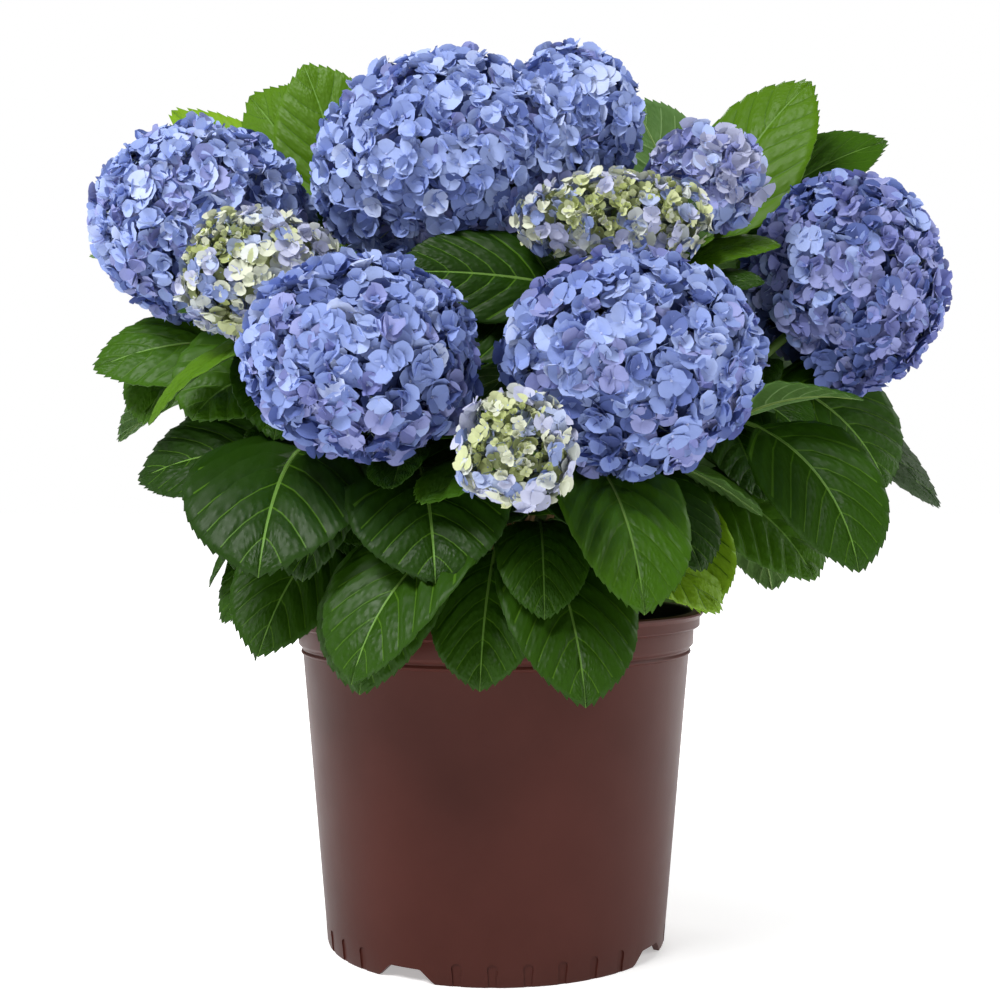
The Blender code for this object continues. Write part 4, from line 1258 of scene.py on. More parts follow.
def pot_rings():
    """The radius and height of each ring of the pot, its edges rounded by a few tenths of a millimetre."""
    return [
        # the wall, from its rounded foot to the bead
        (wall_radius(0.0016), 0.0016),
        (wall_radius(0.020), 0.020),
        (WALL_TOP_RADIUS, BEAD_FOOT),
        # the bead
        (BEAD_RADIUS - 0.0002, BEAD_HEIGHT - 0.0006),
        (BEAD_RADIUS, BEAD_HEIGHT),
        (BEAD_RADIUS - 0.0002, BEAD_HEIGHT + 0.0008),
        (BEAD_RADIUS - 0.0009, BEAD_HEIGHT + 0.0018),
        # the band, and the lip that stands out above it
        (BEAD_RADIUS - 0.0007, BAND_BOTTOM - 0.0030),
        (BAND_RADIUS - 0.0006, BAND_BOTTOM - 0.0008),
        (BAND_RADIUS - 0.0002, BAND_BOTTOM),
        (BAND_RADIUS, LIP_BOTTOM - 0.0009),
        (LIP_RADIUS - 0.0010, LIP_BOTTOM),
        (LIP_RADIUS, LIP_BOTTOM + 0.0010),
        # the flange, and over it into the mouth
        (LIP_RADIUS + 0.0001, POT_HEIGHT - 0.0046),
        (FLANGE_RADIUS - 0.0006, POT_HEIGHT - 0.0026),
        (FLANGE_RADIUS, POT_HEIGHT - 0.0016),
        (FLANGE_RADIUS - 0.0003, POT_HEIGHT - 0.0005),
        (FLANGE_RADIUS - 0.0012, POT_HEIGHT),
        (MOUTH_RADIUS + 0.0014, POT_HEIGHT),
        (MOUTH_RADIUS + 0.0003, POT_HEIGHT - 0.0008),
        # down the inside to the floor
        (MOUTH_RADIUS, POT_HEIGHT - 0.0040),
        (BAND_RADIUS - WALL, BAND_BOTTOM),
        (pot_inside(FLARE_HEIGHT), FLARE_HEIGHT),
        (pot_inside(FLOOR_TOP), FLOOR_TOP),
    ]


NEAR_AXIS = 0.05  # of the level faces, only the pot's floor and its underside are centred so near


def is_underside(at, _):
    """Whether a face is the pot's round underside."""
    return at.z < 0.001 and at.xy.length < NEAR_AXIS


def faces_inward(at, normal):
    """Whether a face belongs to the pot's inside."""
    return at.z > FLOOR_TOP - 0.0002 and (normal.xy.dot(at.xy) < -0.0001 or at.xy.length < NEAR_AXIS)


def model_pot(outside, inside):
    """The pot, drawn up from its foot ring by extrusions, over the lip and down to its floor."""
    clear_selection()
    foot = WALL_FOOT_RADIUS - FOOT_ROUND
    bpy.ops.mesh.primitive_circle_add(vertices=POT_SIDES, radius=foot, fill_type="NGON", location=(0, 0, 0))
    pot = named("nursery_pot")
    pot.data.materials.append(outside)
    pot.data.materials.append(inside)
    edit_faces()
    radius, height = foot, 0.0
    for new_radius, new_height in pot_rings():
        extrude_to(new_radius, new_height, radius, height)
        radius, height = new_radius, new_height
    close_shell()
    select_faces(pot, is_underside)
    bpy.ops.mesh.inset(thickness=FOOT_WIDTH - FOOT_ROUND, depth=0)
    bpy.ops.mesh.extrude_region_move(TRANSFORM_OT_translate={"value": (0, 0, FLOOR_UNDERSIDE)})
    close_shell()
    select_faces(pot, faces_inward)
    pot.active_material_index = 1
    bpy.ops.object.material_slot_assign()
    bpy.ops.object.mode_set(mode="OBJECT")
    cut_feet(pot)
    make_active(pot)
    bpy.ops.object.shade_smooth_by_angle(angle=math.radians(32))
    return pot


GAP_DEPTH_BELOW, GAP_ROUND, FLUTE_LENGTH = 0.002, 0.0012, 0.006


def model_gaps(gaps):
    """The blocks that open the gaps between the pot's feet."""
    blocks = []
    inner, outer = WALL_FOOT_RADIUS - 3 * FOOT_WIDTH, WALL_FOOT_RADIUS + FOOT_WIDTH
    rise = (GAP_GROUND_DEG - GAP_TOP_DEG) / GAP_HEIGHT
    for heading in gaps:
        clear_selection()
        bpy.ops.mesh.primitive_cube_add(size=1.0, location=(0, 0, 0))
        block = named("gap")
        bpy.ops.object.mode_set(mode="EDIT")
        bm = bmesh.from_edit_mesh(block.data)
        for vert in bm.verts:
            at_top = vert.co.z > 0
            degrees = GAP_TOP_DEG if at_top else GAP_GROUND_DEG + rise * GAP_DEPTH_BELOW
            side = math.copysign(math.tan(math.radians(degrees / 2)) * WALL_FOOT_RADIUS, vert.co.x)
            height = GAP_HEIGHT if at_top else -GAP_DEPTH_BELOW
            vert.co = (side, -(outer if vert.co.y < 0 else inner), height)
        bmesh.update_edit_mesh(block.data)
        bpy.ops.mesh.select_all(action="SELECT")
        bpy.ops.transform.rotate(value=-math.radians(heading), orient_axis="Z", center_override=(0, 0, 0))
        bpy.ops.object.mode_set(mode="OBJECT")
        bevel = block.modifiers.new("soft", "BEVEL")
        bevel.width = GAP_ROUND
        bevel.segments = 3
        apply_modifiers(block)
        blocks.append(block)
    return blocks


def model_fluting(gaps):
    """The round rods that sink the flutes into the wall above each foot."""
    fluting = []
    lean = math.atan((WALL_TOP_RADIUS - WALL_FOOT_RADIUS) / BEAD_HEIGHT)
    centre_height = FLUTE_TOP - FLUTE_RADIUS
    centre_reach = wall_radius(centre_height) - FLUTE_DEPTH + FLUTE_LENGTH / 2
    rod = {"radius": FLUTE_RADIUS, "depth": FLUTE_LENGTH, "rotation": (math.pi / 2, 0, 0)}
    for gap in gaps:
        for step in range(FLUTES_PER_FOOT):
            heading = gap + 180 / FEET + (step - (FLUTES_PER_FOOT - 1) / 2) * FLUTE_PITCH_DEG
            clear_selection()
            bpy.ops.mesh.primitive_cylinder_add(vertices=24, location=(0, 0, 0), **rod)
            flute = named("flute")
            set_place(flute)
            bpy.ops.object.mode_set(mode="EDIT")
            bm = bmesh.from_edit_mesh(flute.data)
            for vert in bm.verts:
                if vert.co.z < -FLUTE_RADIUS / 2:
                    vert.co.z -= FLUTE_TOP
            bmesh.update_edit_mesh(flute.data)
            bpy.ops.object.mode_set(mode="OBJECT")
            flute.rotation_euler = (lean, 0, 0)
            set_place(flute)
            flute.location = (0, -centre_reach, centre_height)
            set_place(flute)
            flute.rotation_euler = (0, 0, math.radians(heading))
            set_place(flute)
            fluting.append(flute)
    return fluting


def cut_feet(pot):
    """Opens the gaps between the feet, and sinks the flutes into them."""
    gaps = [FIRST_GAP_HEADING + foot * 360 / FEET for foot in range(FEET)]
    for cutters in (model_gaps(gaps), model_fluting(gaps)):
        subtract(pot, join(cutters))


ROUND_SIDES = 96
SOIL_RINGS, SOIL_RING_WIDTH = 26, 0.005
SOIL_SUNK, LUMPS, LUMP_SCALE = 0.002, 0.0018, 60
NOISE_OCTAVES = (1.0, 2.0, 4)


def inset_rings(count, width):
    """Insets the selected round face again and again, so that it can take relief."""
    for _ in range(count):
        bpy.ops.mesh.inset(thickness=width, depth=0)


def model_soil(mix):
    """The potting mix: a block that fills the pot, its top rough and a little sunk at the edge."""
    clear_selection()
    bottom = FLOOR_TOP + TOUCH_GAP
    radius = pot_inside(bottom) - TOUCH_GAP
    top_radius = pot_inside(FLARE_HEIGHT) - TOUCH_GAP
    disc = {"fill_type": "NGON", "location": (0, 0, bottom)}
    bpy.ops.mesh.primitive_circle_add(vertices=ROUND_SIDES, radius=radius, **disc)
    soil = named("potting_mix")
    set_place(soil)
    soil.data.materials.append(mix)
    edit_faces()
    extrude_to(top_radius, FLARE_HEIGHT, radius, bottom)
    extrude_to(top_radius, SOIL_TOP - SOIL_SUNK, top_radius, FLARE_HEIGHT)
    inset_rings(SOIL_RINGS, SOIL_RING_WIDTH)
    close_shell()
    bpy.ops.object.mode_set(mode="OBJECT")
    for vert in soil.data.vertices:
        if vert.co.z > SOIL_TOP - 1.5 * SOIL_SUNK and vert.co.xy.length < top_radius - SOIL_SUNK:
            vert.co.z += LUMPS * noise.fractal(vert.co * LUMP_SCALE, *NOISE_OCTAVES)
    soil.data.shade_smooth()
    return soil


CHIP_SEED = 31
CHIPS = 2600
CHIP_LENGTHS, CHIP_SPREAD = (0.0022, 0.0070), (0.6, 1.3)
CHIP_WIDTHS, CHIP_HEIGHTS = (0.25, 0.7), (0.12, 0.3)  # as shares of the chip's length
CHIP_JAG, CHIP_LEAN = (0.55, 1.15), 0.30
CHIP_SUNK, CHIP_RISE, CHIP_MARGIN = 0.0012, 0.0022, 0.004
GRIT_SPAN = (0.0011, 0.0011, 0.0010)
GRIT_SHARE = 0.05


def model_chips(materials):
    """Chips of bark and grains of grit on the potting mix."""
    rng = random.Random(CHIP_SEED)
    chips = Joined()
    corners = np.array([(x, y, z) for x in (-1, 1) for y in (-1, 1) for z in (-1, 1)], dtype=float)
    faces = [(0, 1, 3, 2), (4, 6, 7, 5), (0, 4, 5, 1), (2, 3, 7, 6), (0, 2, 6, 4), (1, 5, 7, 3)]
    reach = pot_inside(FLARE_HEIGHT) - CHIP_MARGIN
    for _ in range(CHIPS):
        distance = reach * math.sqrt(rng.uniform(0.0, 1.0))
        if distance < STEM_FOOT_RADIUS * 0.9:
            continue
        heading = rng.uniform(0, 360)
        long = rng.uniform(*CHIP_LENGTHS) * rng.uniform(*CHIP_SPREAD)
        grit = rng.random() < GRIT_SHARE
        span = (long, long * rng.uniform(*CHIP_WIDTHS), long * rng.uniform(*CHIP_HEIGHTS))
        if grit:
            span = GRIT_SPAN
        jag = np.array([[rng.uniform(*CHIP_JAG) for _ in range(3)] for _ in range(8)])
        turn = Matrix.Rotation(rng.uniform(0, 2 * math.pi), 3, "Z")
        for axis in "XY":
            turn = turn @ Matrix.Rotation(rng.gauss(0, CHIP_LEAN), 3, axis)
        height = SOIL_TOP - CHIP_SUNK + rng.uniform(0.0, CHIP_RISE)
        at = around(heading, min(distance, reach - long), height)
        placed = corners * jag * np.array(span) @ np.array(turn).T + np.array(at)
        chips.add(placed, faces, [3 if grit else rng.choice((0, 0, 1, 1, 2))] * 6)
    return chips.build("bark_chips", materials, smooth=False)


def bark_relief(piece, strength, scale, keep_flat=True):
    """Ridges a bark mesh along its normals with rough noise; its flat ends stay flat where asked."""
    normals = [vert.normal.copy() for vert in piece.data.vertices]
    for vert, normal in zip(piece.data.vertices, normals):
        if keep_flat and abs(normal.z) > 0.9:
            continue
        spot = Vector((vert.co.x * scale, vert.co.y * scale, vert.co.z * scale * 0.3))
        vert.co += normal * strength * noise.fractal(spot, *NOISE_OCTAVES)


STEM_STEPS, STEM_FLARE = 8, 1.8
STEM_RINGS, STEM_RING_WIDTH = 16, 0.003
STEM_RIDGES, STEM_GRAIN = 0.0016, 160
STUBS, STUB_SCALE, STUBS_SUNK = 0.0009, 120, 0.0006  # the rough top of the stem


def model_stem(bark):
    """The short woody stem: a low flared crown with bark ridges and a rough top."""
    clear_selection()
    base = SOIL_TOP + TOUCH_GAP
    disc = {"fill_type": "NGON", "location": (0, 0, base)}
    bpy.ops.mesh.primitive_circle_add(vertices=ROUND_SIDES, radius=STEM_FOOT_RADIUS, **disc)
    stem = named("woody_stem")
    set_place(stem)
    stem.data.materials.append(bark)
    edit_faces()
    radius, height = STEM_FOOT_RADIUS, base
    for step in range(1, STEM_STEPS + 1):
        share = step / STEM_STEPS
        drawn_in = (STEM_TOP_RADIUS - STEM_FOOT_RADIUS) * (1 - (1 - share) ** STEM_FLARE)
        new_radius = STEM_FOOT_RADIUS + drawn_in
        extrude_to(new_radius, base + STEM_HEIGHT * share, radius, height)
        radius, height = new_radius, base + STEM_HEIGHT * share
    inset_rings(STEM_RINGS, STEM_RING_WIDTH)
    close_shell()
    bpy.ops.object.mode_set(mode="OBJECT")
    bark_relief(stem, STEM_RIDGES, STEM_GRAIN)
    top = base + STEM_HEIGHT
    for vert in stem.data.vertices:
        if vert.co.z > top - 0.0005:
            vert.co.z += STUBS * noise.fractal(vert.co * STUB_SCALE, *NOISE_OCTAVES) - STUBS_SUNK
    stem.data.shade_smooth()
    return stem


def cane_curve(item):
    """The part of a shoot's path that its cane takes, as a Bezier curve of its own."""
    corners = list(item["path"])
    cane = corners[:1]
    while len(corners) > 1:
        corners = [here.lerp(after, CANE_SHARE) for here, after in zip(corners, corners[1:])]
        cane.append(corners[0])
    return cane


CANE_SEED = 41
CANE_STEPS = 40
CANE_RIDGES, CANE_GRAIN = 0.0005, 420
KNOT_SPACING = 0.032  # between the swellings where old leaves grew
KNOT_SWELL = 0.10
CANE_FLARE = 1.12


def cane_radius(share, length, phase):
    """A cane's radius at a share of its length: tapering, with a swelling at each old leaf's place."""
    taper = CANE_FOOT_RADIUS + (CANE_TIP_RADIUS - CANE_FOOT_RADIUS) * share
    knot = math.cos(2 * math.pi * (share * length / KNOT_SPACING + phase))
    flare = CANE_FLARE if share < 2 / CANE_STEPS else 1.0
    return taper * flare * (1.0 + KNOT_SWELL * max(0.0, knot) ** 8)


def model_canes(shoots, bark):
    """Every cane, a tapering curve with swollen nodes, made a mesh and given bark relief."""
    canes = []
    rng = random.Random(CANE_SEED)
    for item in shoots:
        ends = cane_curve(item)
        phase, length = rng.uniform(0, 1), (ends[3] - ends[0]).length
        clear_selection()
        bpy.ops.curve.primitive_nurbs_path_add(location=(0, 0, 0))
        cane = named("cane")
        make_tube(cane.data, 4)
        spline = cane.data.splines[0]
        spline.type = "POLY"
        spline.points.add(CANE_STEPS + 1 - len(spline.points))
        for rank, place in enumerate(spline.points):
            share = rank / CANE_STEPS
            at = bezier(ends, share) if rank else ends[0] - UP * STRAIGHT
            place.co = (*at, 1.0)
            place.radius = cane_radius(share, length, phase)
        make_active(cane)
        bpy.ops.object.convert(target="MESH")
        canes.append(bpy.context.object)
    piece = join(canes)
    piece.name = "canes"
    piece.data.name = "canes"
    make_active(piece)
    bpy.ops.object.mode_set(mode="EDIT")
    bpy.ops.mesh.select_all(action="SELECT")
    bpy.ops.mesh.remove_doubles(threshold=0.00001)
    close_shell()
    bpy.ops.object.mode_set(mode="OBJECT")
    piece.data.materials.clear()
    piece.data.materials.append(bark)
    bark_relief(piece, CANE_RIDGES, CANE_GRAIN, keep_flat=False)
    piece.data.shade_smooth()
    return piece


GREEN_STEPS, GREEN_SIDES, GREEN_FOOT_RADIUS = 26, 10, CANE_TIP_RADIUS * 0.95
GREEN_KNOTS, GREEN_SWELL = 60, 0.10


def grow_green_stems(shoots, stems):
    """The green stem of each shoot, with a swelling where leaves leave it."""
    for item in shoots:
        shares = np.linspace(CANE_SHARE, SHOOT_END, GREEN_STEPS)
        points = [bezier(item["path"], share) for share in shares]
        radii = np.interp(shares, (CANE_SHARE, SHOOT_END), (GREEN_FOOT_RADIUS, SHOOT_TIP_RADIUS))
        radii = radii * (1 + GREEN_SWELL * np.maximum(0, np.cos(shares * GREEN_KNOTS)) ** 6)
        shell, faces = sweep(points, radii, GREEN_SIDES)
        stems.add(shell, faces, [0] * len(faces))


# ---------------------------------------------------------------- materials


def srgb(red, green, blue):
    """A colour from its everyday 0 to 255 values."""

    def linear(value):
        value /= 255
        return value / 12.92 if value <= 0.04045 else ((value + 0.055) / 1.055) ** 2.4

    return (linear(red), linear(green), linear(blue), 1.0)


class Finish:
    """A Principled material and the nodes that give it relief and variation."""

    def __init__(self, name, colour, roughness, **settings):
        self.material = bpy.data.materials.new(name)
        self.material.use_nodes = True
        self.tree = self.material.node_tree
        self.shader = self.tree.nodes["Principled BSDF"]
        self.shader.inputs["Base Color"].default_value = colour
        self.shader.inputs["Roughness"].default_value = roughness
        for setting, value in settings.items():
            self.shader.inputs[setting.replace("_", " ")].default_value = value
        self.coordinates = self.tree.nodes.new("ShaderNodeTexCoord")

    def link(self, source, target):
        """Links one socket to another."""
        self.tree.links.new(source, target)

    def noise(self, scale, detail=4.0, roughness=0.55, stretch=None):
        """Noise on Object coordinates, stretched where asked."""
        texture = self.tree.nodes.new("ShaderNodeTexNoise")
        texture.inputs["Scale"].default_value = scale
        texture.inputs["Detail"].default_value = detail
        texture.inputs["Roughness"].default_value = roughness
        source = self.coordinates.outputs["Object"]
        if stretch:
            mapping = self.tree.nodes.new("ShaderNodeMapping")
            mapping.inputs["Scale"].default_value = stretch
            self.link(source, mapping.inputs["Vector"])
            source = mapping.outputs["Vector"]
        self.link(source, texture.inputs["Vector"])
        return texture.outputs["Fac"]

    def cells(self, scale):
        """Cell pattern on Object coordinates."""
        texture = self.tree.nodes.new("ShaderNodeTexVoronoi")
        texture.inputs["Scale"].default_value = scale
        self.link(self.coordinates.outputs["Object"], texture.inputs["Vector"])
        return texture.outputs["Distance"]

    def colours(self, factor, stops):
        """A base colour that runs through the stops over a factor."""
        ramp = self.tree.nodes.new("ShaderNodeValToRGB")
        elements = ramp.color_ramp.elements
        while len(elements) < len(stops):
            elements.new(0.5)
        for element, (place, colour) in zip(elements, stops):
            element.position = place
            element.color = colour
        self.link(factor, ramp.inputs["Fac"])
        self.link(ramp.outputs["Color"], self.shader.inputs["Base Color"])

    def bump(self, *layers):
        """Relief from one or more layers of height, each with its depth in metres."""
        previous = None
        for height, depth in layers:
            bump = self.tree.nodes.new("ShaderNodeBump")
            bump.inputs["Strength"].default_value = 1.0
            bump.inputs["Distance"].default_value = depth
            self.link(height, bump.inputs["Height"])
            if previous:
                self.link(previous, bump.inputs["Normal"])
            previous = bump.outputs["Normal"]
        self.link(previous, self.shader.inputs["Normal"])

    def roughness(self, factor, low, high):
        """Roughness that varies between two values."""
        spread = self.tree.nodes.new("ShaderNodeMapRange")
        spread.inputs["To Min"].default_value = low
        spread.inputs["To Max"].default_value = high
        self.link(factor, spread.inputs["Value"])
        self.link(spread.outputs["Result"], self.shader.inputs["Roughness"])


def leaf_finish(name, colour, roughness=0.42):
    """A leaf's glossy upper skin: a net of fine veins and a slightly uneven surface."""
    finish = Finish(name, colour, roughness, Specular_IOR_Level=0.16)
    blade = finish.tree.nodes.new("ShaderNodeUVMap")
    blade.uv_map = "blade"
    spread = finish.tree.nodes.new("ShaderNodeMapping")
    spread.inputs["Scale"].default_value = (32, 18, 1)
    finish.link(blade.outputs["UV"], spread.inputs["Vector"])
    net = finish.tree.nodes.new("ShaderNodeTexVoronoi")
    net.voronoi_dimensions = "2D"
    net.feature = "SMOOTH_F1"
    net.inputs["Scale"].default_value = 1.0
    finish.link(spread.outputs["Vector"], net.inputs["Vector"])
    finish.bump((net.outputs["Distance"], -0.0005), (finish.noise(70), 0.0002))
    finish.roughness(finish.noise(55), roughness - 0.08, roughness + 0.14)
    return finish.material


def petal_finish(name, colour):
    """A sepal's soft skin with a faint fine relief."""
    finish = Finish(name, colour, 0.62, Specular_IOR_Level=0.28)
    finish.bump((finish.noise(420, 3.0), 0.00022))
    return finish.material


def stalk_finish(name, colour):
    """The green skin of stems and stalks."""
    finish = Finish(name, colour, 0.50, Specular_IOR_Level=0.40)
    finish.bump((finish.noise(500, 3.0, stretch=(1, 1, 0.3)), 0.00012))
    return finish.material


def stalk_finishes():
    """The greens of the shoots, the leaf stalks and the flower stalks."""
    return [
        stalk_finish("stalk_green", srgb(96, 128, 50)),
        stalk_finish("stalk_light", srgb(124, 150, 72)),
        stalk_finish("stalk_fine", srgb(118, 132, 120)),
    ]


def bark_finish():
    """Tan bark with darker streaks and corky spots."""
    finish = Finish("bark", srgb(150, 124, 88), 0.88, Specular_IOR_Level=0.20)
    streaks = finish.noise(220, 6.0, 0.6, stretch=(1, 1, 0.22))
    bark_colours = ((0.30, srgb(74, 54, 36)), (0.50, srgb(142, 112, 76)), (0.72, srgb(186, 162, 122)))
    finish.colours(streaks, bark_colours)
    finish.bump((streaks, 0.0006), (finish.cells(520), 0.0002))
    return finish.material


def pot_finish():
    """Moulded maroon plastic with a satin skin and light scuffs."""
    finish = Finish("pot_plastic", srgb(72, 35, 29), 0.38, Specular_IOR_Level=0.12)
    finish.colours(finish.noise(9, 5.0), ((0.35, srgb(68, 32, 26)), (0.65, srgb(76, 38, 32))))
    finish.bump((finish.noise(900, 2.0), 0.00004), (finish.noise(30, 3.0, stretch=(1, 1, 0.2)), 0.00012))
    finish.roughness(finish.noise(40, 6.0, 0.6), 0.36, 0.46)
    return finish.material


def pot_inside_finish():
    """The pot's black inner wall."""
    finish = Finish("pot_inner_wall", srgb(34, 34, 37), 0.48, Specular_IOR_Level=0.5)
    finish.bump((finish.noise(300, 3.0), 0.00008))
    return finish.material


def mix_finish():
    """Dark, crumbly potting mix."""
    finish = Finish("potting_mix", srgb(46, 34, 27), 0.95, Specular_IOR_Level=0.15)
    grains = finish.noise(480, 6.0, 0.7)
    finish.colours(grains, ((0.35, srgb(30, 21, 16)), (0.65, srgb(74, 56, 43))))
    finish.bump((grains, 0.0012))
    return finish.material


def chip_finish(name, colour):
    """A chip of bark or a grain of grit."""
    finish = Finish(name, colour, 0.90, Specular_IOR_Level=0.15)
    finish.bump((finish.noise(900, 4.0), 0.0003))
    return finish.material


def chip_finishes():
    """Three browns of bark, and the grit."""
    return [
        chip_finish("chip_dark", srgb(52, 36, 26)),
        chip_finish("chip_brown", srgb(92, 64, 44)),
        chip_finish("chip_tan", srgb(132, 100, 70)),
        chip_finish("grit", srgb(214, 210, 200)),
    ]


def floor_finish():
    """A pale floor that glows as painted light: faintly near the pot, which lightens the soft shadow that it
    takes there, and white further off.
    """
    finish = Finish("floor", (0.86, 0.86, 0.86, 1), 0.85, Specular_IOR_Level=0.0)
    reach = finish.tree.nodes.new("ShaderNodeVectorMath")
    reach.operation = "LENGTH"
    finish.link(finish.coordinates.outputs["Object"], reach.inputs[0])
    # Painted light: the glow rises from 0.40 near the pot to 1.0 further off.
    glow = finish.tree.nodes.new("ShaderNodeMapRange")
    glow.interpolation_type = "SMOOTHSTEP"
    for name, value in (("From Min", 0.15), ("From Max", 1.0), ("To Min", 0.40), ("To Max", 1.0)):
        glow.inputs[name].default_value = value
    finish.link(reach.outputs["Value"], glow.inputs["Value"])
    finish.shader.inputs["Emission Color"].default_value = (1, 1, 1, 1)
    finish.link(glow.outputs["Result"], finish.shader.inputs["Emission Strength"])
    finish.bump((finish.noise(3.0), 0.0001))
    return finish.material


# ---------------------------------------------------------------- the plant


LEAF_COLOURS = (
    ("leaf_deep", srgb(28, 56, 3)),
    ("leaf_dark", srgb(38, 70, 5)),
    ("leaf_green", srgb(52, 88, 8)),
    ("leaf_fresh", srgb(76, 114, 13)),
    ("leaf_bright", srgb(110, 148, 24)),
)
PETAL_COLOURS = (
    ("petal_pale", srgb(182, 195, 231)),
    ("petal_light", srgb(158, 175, 223)),
    ("petal_periwinkle", srgb(133, 151, 206)),
    ("petal_lavender", srgb(143, 150, 201)),
    ("petal_violet", srgb(121, 128, 184)),
    ("petal_deep", srgb(86, 102, 160)),
    ("petal_grey", srgb(168, 172, 200)),
    # Painted shade: the tint of the inner layer and of florets in crevices between heads.
    ("petal_painted_shade", srgb(64, 78, 130)),
)
YOUNG_COLOURS = (
    ("floret_lime", srgb(172, 182, 120)),
    ("floret_light_lime", srgb(192, 199, 152)),
    ("floret_cream", srgb(203, 207, 186)),
    ("floret_ivory", srgb(200, 205, 202)),
    ("floret_lilac", srgb(184, 188, 214)),
    ("floret_pale_blue", srgb(168, 180, 212)),
    # Partly painted shade: the buds' green, darkened for the inner layer.
    ("floret_olive_shade", srgb(132, 142, 96)),
    ("floret_blue", srgb(128, 144, 190)),
)


LEAF_GROUPS = {
    "front": ("front_left", "front_right", "young_front", "leafy_front", "young_left", "young_top"),
    "top": ("top", "upper_right", "leafy_upper_left", "leafy_upper_right"),
    "left": ("left", "leafy_left", "leafy_rear_left"),
    "right": ("right", "leafy_right", "leafy_rear_right"),
    "rear": ("rear_left", "rear_right", "rear_middle", "rear_low_left", "rear_low_right", "leafy_rear"),
}
HEAD_GROUPS = {
    "blue_front": ("flowers_blue", ("front_left", "front_right")),
    "blue_top": ("flowers_blue", ("top", "left")),
    "blue_rear": ("flowers_blue", ("rear_left", "rear_right", "rear_low_left", "rear_low_right")),
    "mauve": ("flowers_mauve", ("right", "upper_right", "rear_middle")),
    "young": ("flowers_young", ("young_left", "young_top", "young_front")),
}


LOW_LEAF, LEAF_RISE = 0.20, 0.40  # heights between which the leaves are painted lighter: painted light from above
DARKEST, LIGHTER_UP, LIGHTER_OUT, TINT_SCATTER = 0.1, 2.7, 1.2, 0.70
YELLOWING_TIP = Vector((0.135, -0.135, 0.239))  # the leaves that end about here are turning light
YELLOWING_REACH = 0.025
LEAF_SEED = 1000


def leaf_tint(blade, rng):
    """Which green a leaf takes: painted light makes it bright where it stands up in the light, painted shade
    makes it deep inside and below.
    """
    if (blade["tip"] - YELLOWING_TIP).length < YELLOWING_REACH:
        return BRIGHT_GREEN
    middle = (blade["start"] + blade["tip"]) / 2
    high = (middle.z - LOW_LEAF) / LEAF_RISE
    outer = math.sqrt(reach_in(blade["tip"] - CROWN_CENTRE, CROWN_RADII))
    tint = rng.gauss(DARKEST + LIGHTER_UP * high + LIGHTER_OUT * (outer - 0.5), TINT_SCATTER)
    return int(max(0, min(LEAF_TINTS - 1, round(tint))))


def dress_leaves(blades, shoots):
    """The leaves and the stalks of every shoot, joined in a few pieces."""
    leaf_materials = [leaf_finish(name, colour) for name, colour in LEAF_COLOURS]
    leaf_materials.append(leaf_finish("leaf_vein", srgb(66, 102, 20)))
    leaf_materials.append(leaf_finish("leaf_midrib", srgb(100, 138, 58)))
    underside = leaf_finish("leaf_underside", srgb(82, 116, 56), 0.60)
    leaf_materials += [underside] * LEAF_TINTS
    leaf_materials.append(leaf_finish("leaf_underside_vein", srgb(112, 142, 84), 0.60))
    leaf_materials.append(leaf_finish("leaf_underside_midrib", srgb(138, 164, 106), 0.60))
    large, small = leaf_blank(VEINS, COLUMNS), leaf_blank(SMALL_VEINS, SMALL_COLUMNS)
    for group, names in LEAF_GROUPS.items():
        own = [item for item in shoots if item["name"] in names]
        nodes = ["shoot_" + item["name"] for item in own]
        leaves, stalks = Joined(), Joined()
        for rank, blade in enumerate(blades):
            if blade["item"] not in own:
                continue
            rng = random.Random(LEAF_SEED + rank)
            tint = blade.get("tint", leaf_tint(blade, rng))
            blank = small if (blade["tip"] - blade["start"]).length < SMALL_LEAF else large
            points = lay_leaf(blade, blank, rng)
            leaves.add(points, blank[1], np.where(blank[2] == 0, tint, blank[2]), blank[3])
            lay_petiole(blade, stalks, rng)
        grow_green_stems(own, stalks)
        piece = leaves.build("leaves_" + group, leaf_materials)
        solid = piece.modifiers.new("blade", "SOLIDIFY")
        solid.thickness = BLADE_THICKNESS
        solid.offset = -1
        solid.material_offset = UNDER_SLOT
        solid.material_offset_rim = 0
        apply_modifiers(piece)
        yield piece, nodes, "foliage"
        yield stalks.build("stalks_" + group, stalk_finishes()), nodes, "foliage"


FULL_LIFTS, PLAIN_LIFTS, CUP_LIFTS = (8, 14, 20, 28, 38, 46), (10, 22, 30), (20, 30, 40, 50, 60)


def dress_heads(shoots):
    """The flower heads and their fine stalks, joined in a few pieces."""
    materials = [petal_finish(name, colour) for name, colour in PETAL_COLOURS]
    materials.append(petal_finish("floret_heart", srgb(170, 180, 218)))
    materials += [petal_finish(name, colour) for name, colour in YOUNG_COLOURS]
    blanks = [floret_blank(lift, seed) for seed, lift in enumerate(FULL_LIFTS)]
    plain = [
        floret_blank(lift, seed, PLAIN_ROWS, PLAIN_HALVES)
        for seed, lift in enumerate(PLAIN_LIFTS, 20)
    ]
    cups = [
        floret_blank(lift, seed, CUP_ROWS, CUP_HALVES, curl=CUP_CURL)
        for seed, lift in enumerate(CUP_LIFTS, 50)
    ]
    for group, (slot, names) in HEAD_GROUPS.items():
        own = [item for item in shoots if item["name"] in names]
        nodes = ["shoot_" + item["name"] for item in own]
        florets, stalks = Joined(), Joined()
        for item in own:
            if item["colour"] == LIME:
                grow_young_head(item, florets, stalks, blanks, plain, cups)
            else:
                grow_head(item, florets, stalks, blanks, plain, shoots)
        yield florets.build("florets_" + group, materials), nodes, slot
        yield stalks.build("head_stalks_" + group, stalk_finishes()), nodes, "foliage"


# ---------------------------------------------------------------- stage, lights, camera

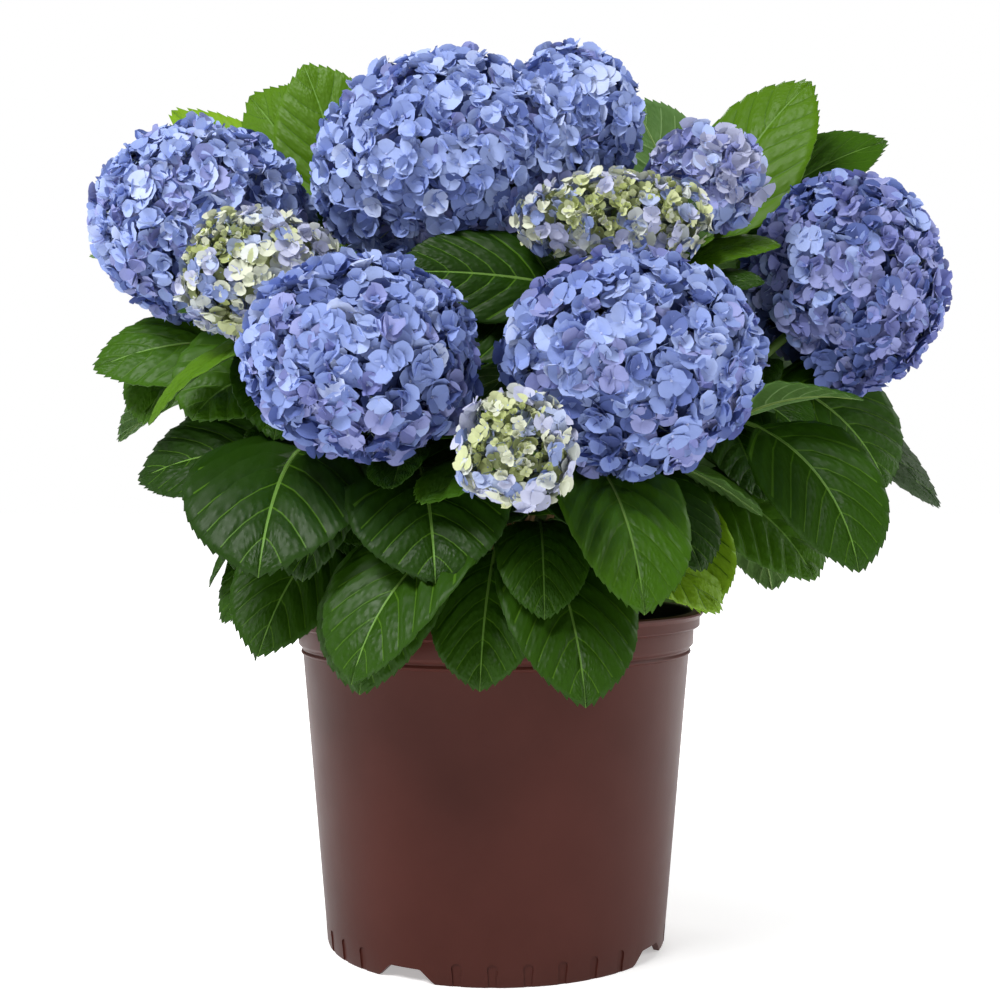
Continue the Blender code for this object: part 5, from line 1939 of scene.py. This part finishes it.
CAMERA_PLACE = Vector((0.0028, -1.07, 0.309))
FOCAL_PIXELS = 1504
IMAGE_PIXELS = 1000
SENSOR = 36.0
WHITE = (1, 1, 1, 1)
SOFT_GLOW = 0.19
LIGHTS = (  # name, place, what it faces, size and power
    ("key", (-0.85, -1.30, 1.95), (0, 0, 0.35), 0.8, 50),
    ("left", (-1.9, 0.2, 0.9), (0, 0, 0.3), 1.2, 4),
    ("right", (1.9, 0.2, 0.9), (0, 0, 0.3), 1.2, 17),
    ("back", (0.5, 1.6, 1.9), (0, 0, 0.35), 1.2, 30),
)


def make_camera():
    """A level camera in front of the plant."""
    camera = bpy.data.cameras.new("camera")
    camera.sensor_width = SENSOR
    camera.lens = SENSOR * FOCAL_PIXELS / IMAGE_PIXELS
    place = put("camera", camera)
    place.location = CAMERA_PLACE
    place.rotation_euler = (math.pi / 2, 0, 0)
    bpy.context.scene.camera = place


def area_light(name, place, target, size, power):
    """A square soft light that faces a point."""
    lamp = bpy.data.lights.new(name, "AREA")
    lamp.shape = "SQUARE"
    lamp.size = size
    lamp.energy = power
    light = put(name, lamp)
    light.location = place
    light.rotation_euler = (Vector(target) - Vector(place)).to_track_quat("-Z", "Y").to_euler()


def make_studio():
    """A pale floor, a white surround and soft lights."""
    clear_selection()
    bpy.ops.mesh.primitive_plane_add(size=60, location=(0, 0, 0))
    floor = named("floor")
    floor.data.materials.append(floor_finish())
    world = bpy.data.worlds.new("surround")
    world.use_nodes = True
    nodes, links = world.node_tree.nodes, world.node_tree.links
    soft = nodes["Background"]
    soft.inputs["Color"].default_value = WHITE
    soft.inputs["Strength"].default_value = SOFT_GLOW
    bright = nodes.new("ShaderNodeBackground")
    bright.inputs["Color"].default_value = WHITE
    bright.inputs["Strength"].default_value = 1.0
    seen = nodes.new("ShaderNodeLightPath")
    mix = nodes.new("ShaderNodeMixShader")
    links.new(seen.outputs["Is Camera Ray"], mix.inputs["Fac"])
    links.new(soft.outputs["Background"], mix.inputs[1])
    links.new(bright.outputs["Background"], mix.inputs[2])
    links.new(mix.outputs["Shader"], nodes["World Output"].inputs["Surface"])
    bpy.context.scene.world = world
    for light in LIGHTS:
        area_light(*light)
    bpy.context.scene.view_settings.view_transform = "Standard"


# ---------------------------------------------------------------- everything


def cad_tree(name):
    """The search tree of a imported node."""
    return tree_of(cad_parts[name].data)


def main():
    """Builds the plant and its pot, gives each piece its body, and hides the nodes that it replaces."""
    make_camera()
    make_studio()
    set_feet(SHOOTS)
    bodies = [(None, cad_tree(name), None) for name in ("pot", "soil", "stem")]
    for item in SHOOTS:
        bodies.append((None, cad_tree("cane_" + item["name"]), None))
        bodies.append((item, stem_tree(item), None))
    blades = grow_leaves(SHOOTS, bodies)
    blades += grow_fine_leaves(SHOOTS, bodies)
    blades += grow_small_leaves(SHOOTS, bodies)
    pieces = [*dress_leaves(blades, SHOOTS), *dress_heads(SHOOTS)]
    pieces.append((model_pot(pot_finish(), pot_inside_finish()), ["pot"], "pot_plastic"))
    pieces.append((model_soil(mix_finish()), ["soil"], "potting_mix"))
    pieces.append((model_chips(chip_finishes()), ["soil"], "potting_mix"))
    bark = bark_finish()
    pieces.append((model_stem(bark), ["stem"], "bark"))
    canes = ["cane_" + item["name"] for item in SHOOTS]
    pieces.append((model_canes(SHOOTS, bark), canes, "bark"))
    for piece, nodes, slot in pieces:
        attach(piece, "root")
        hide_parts(*nodes)


main()
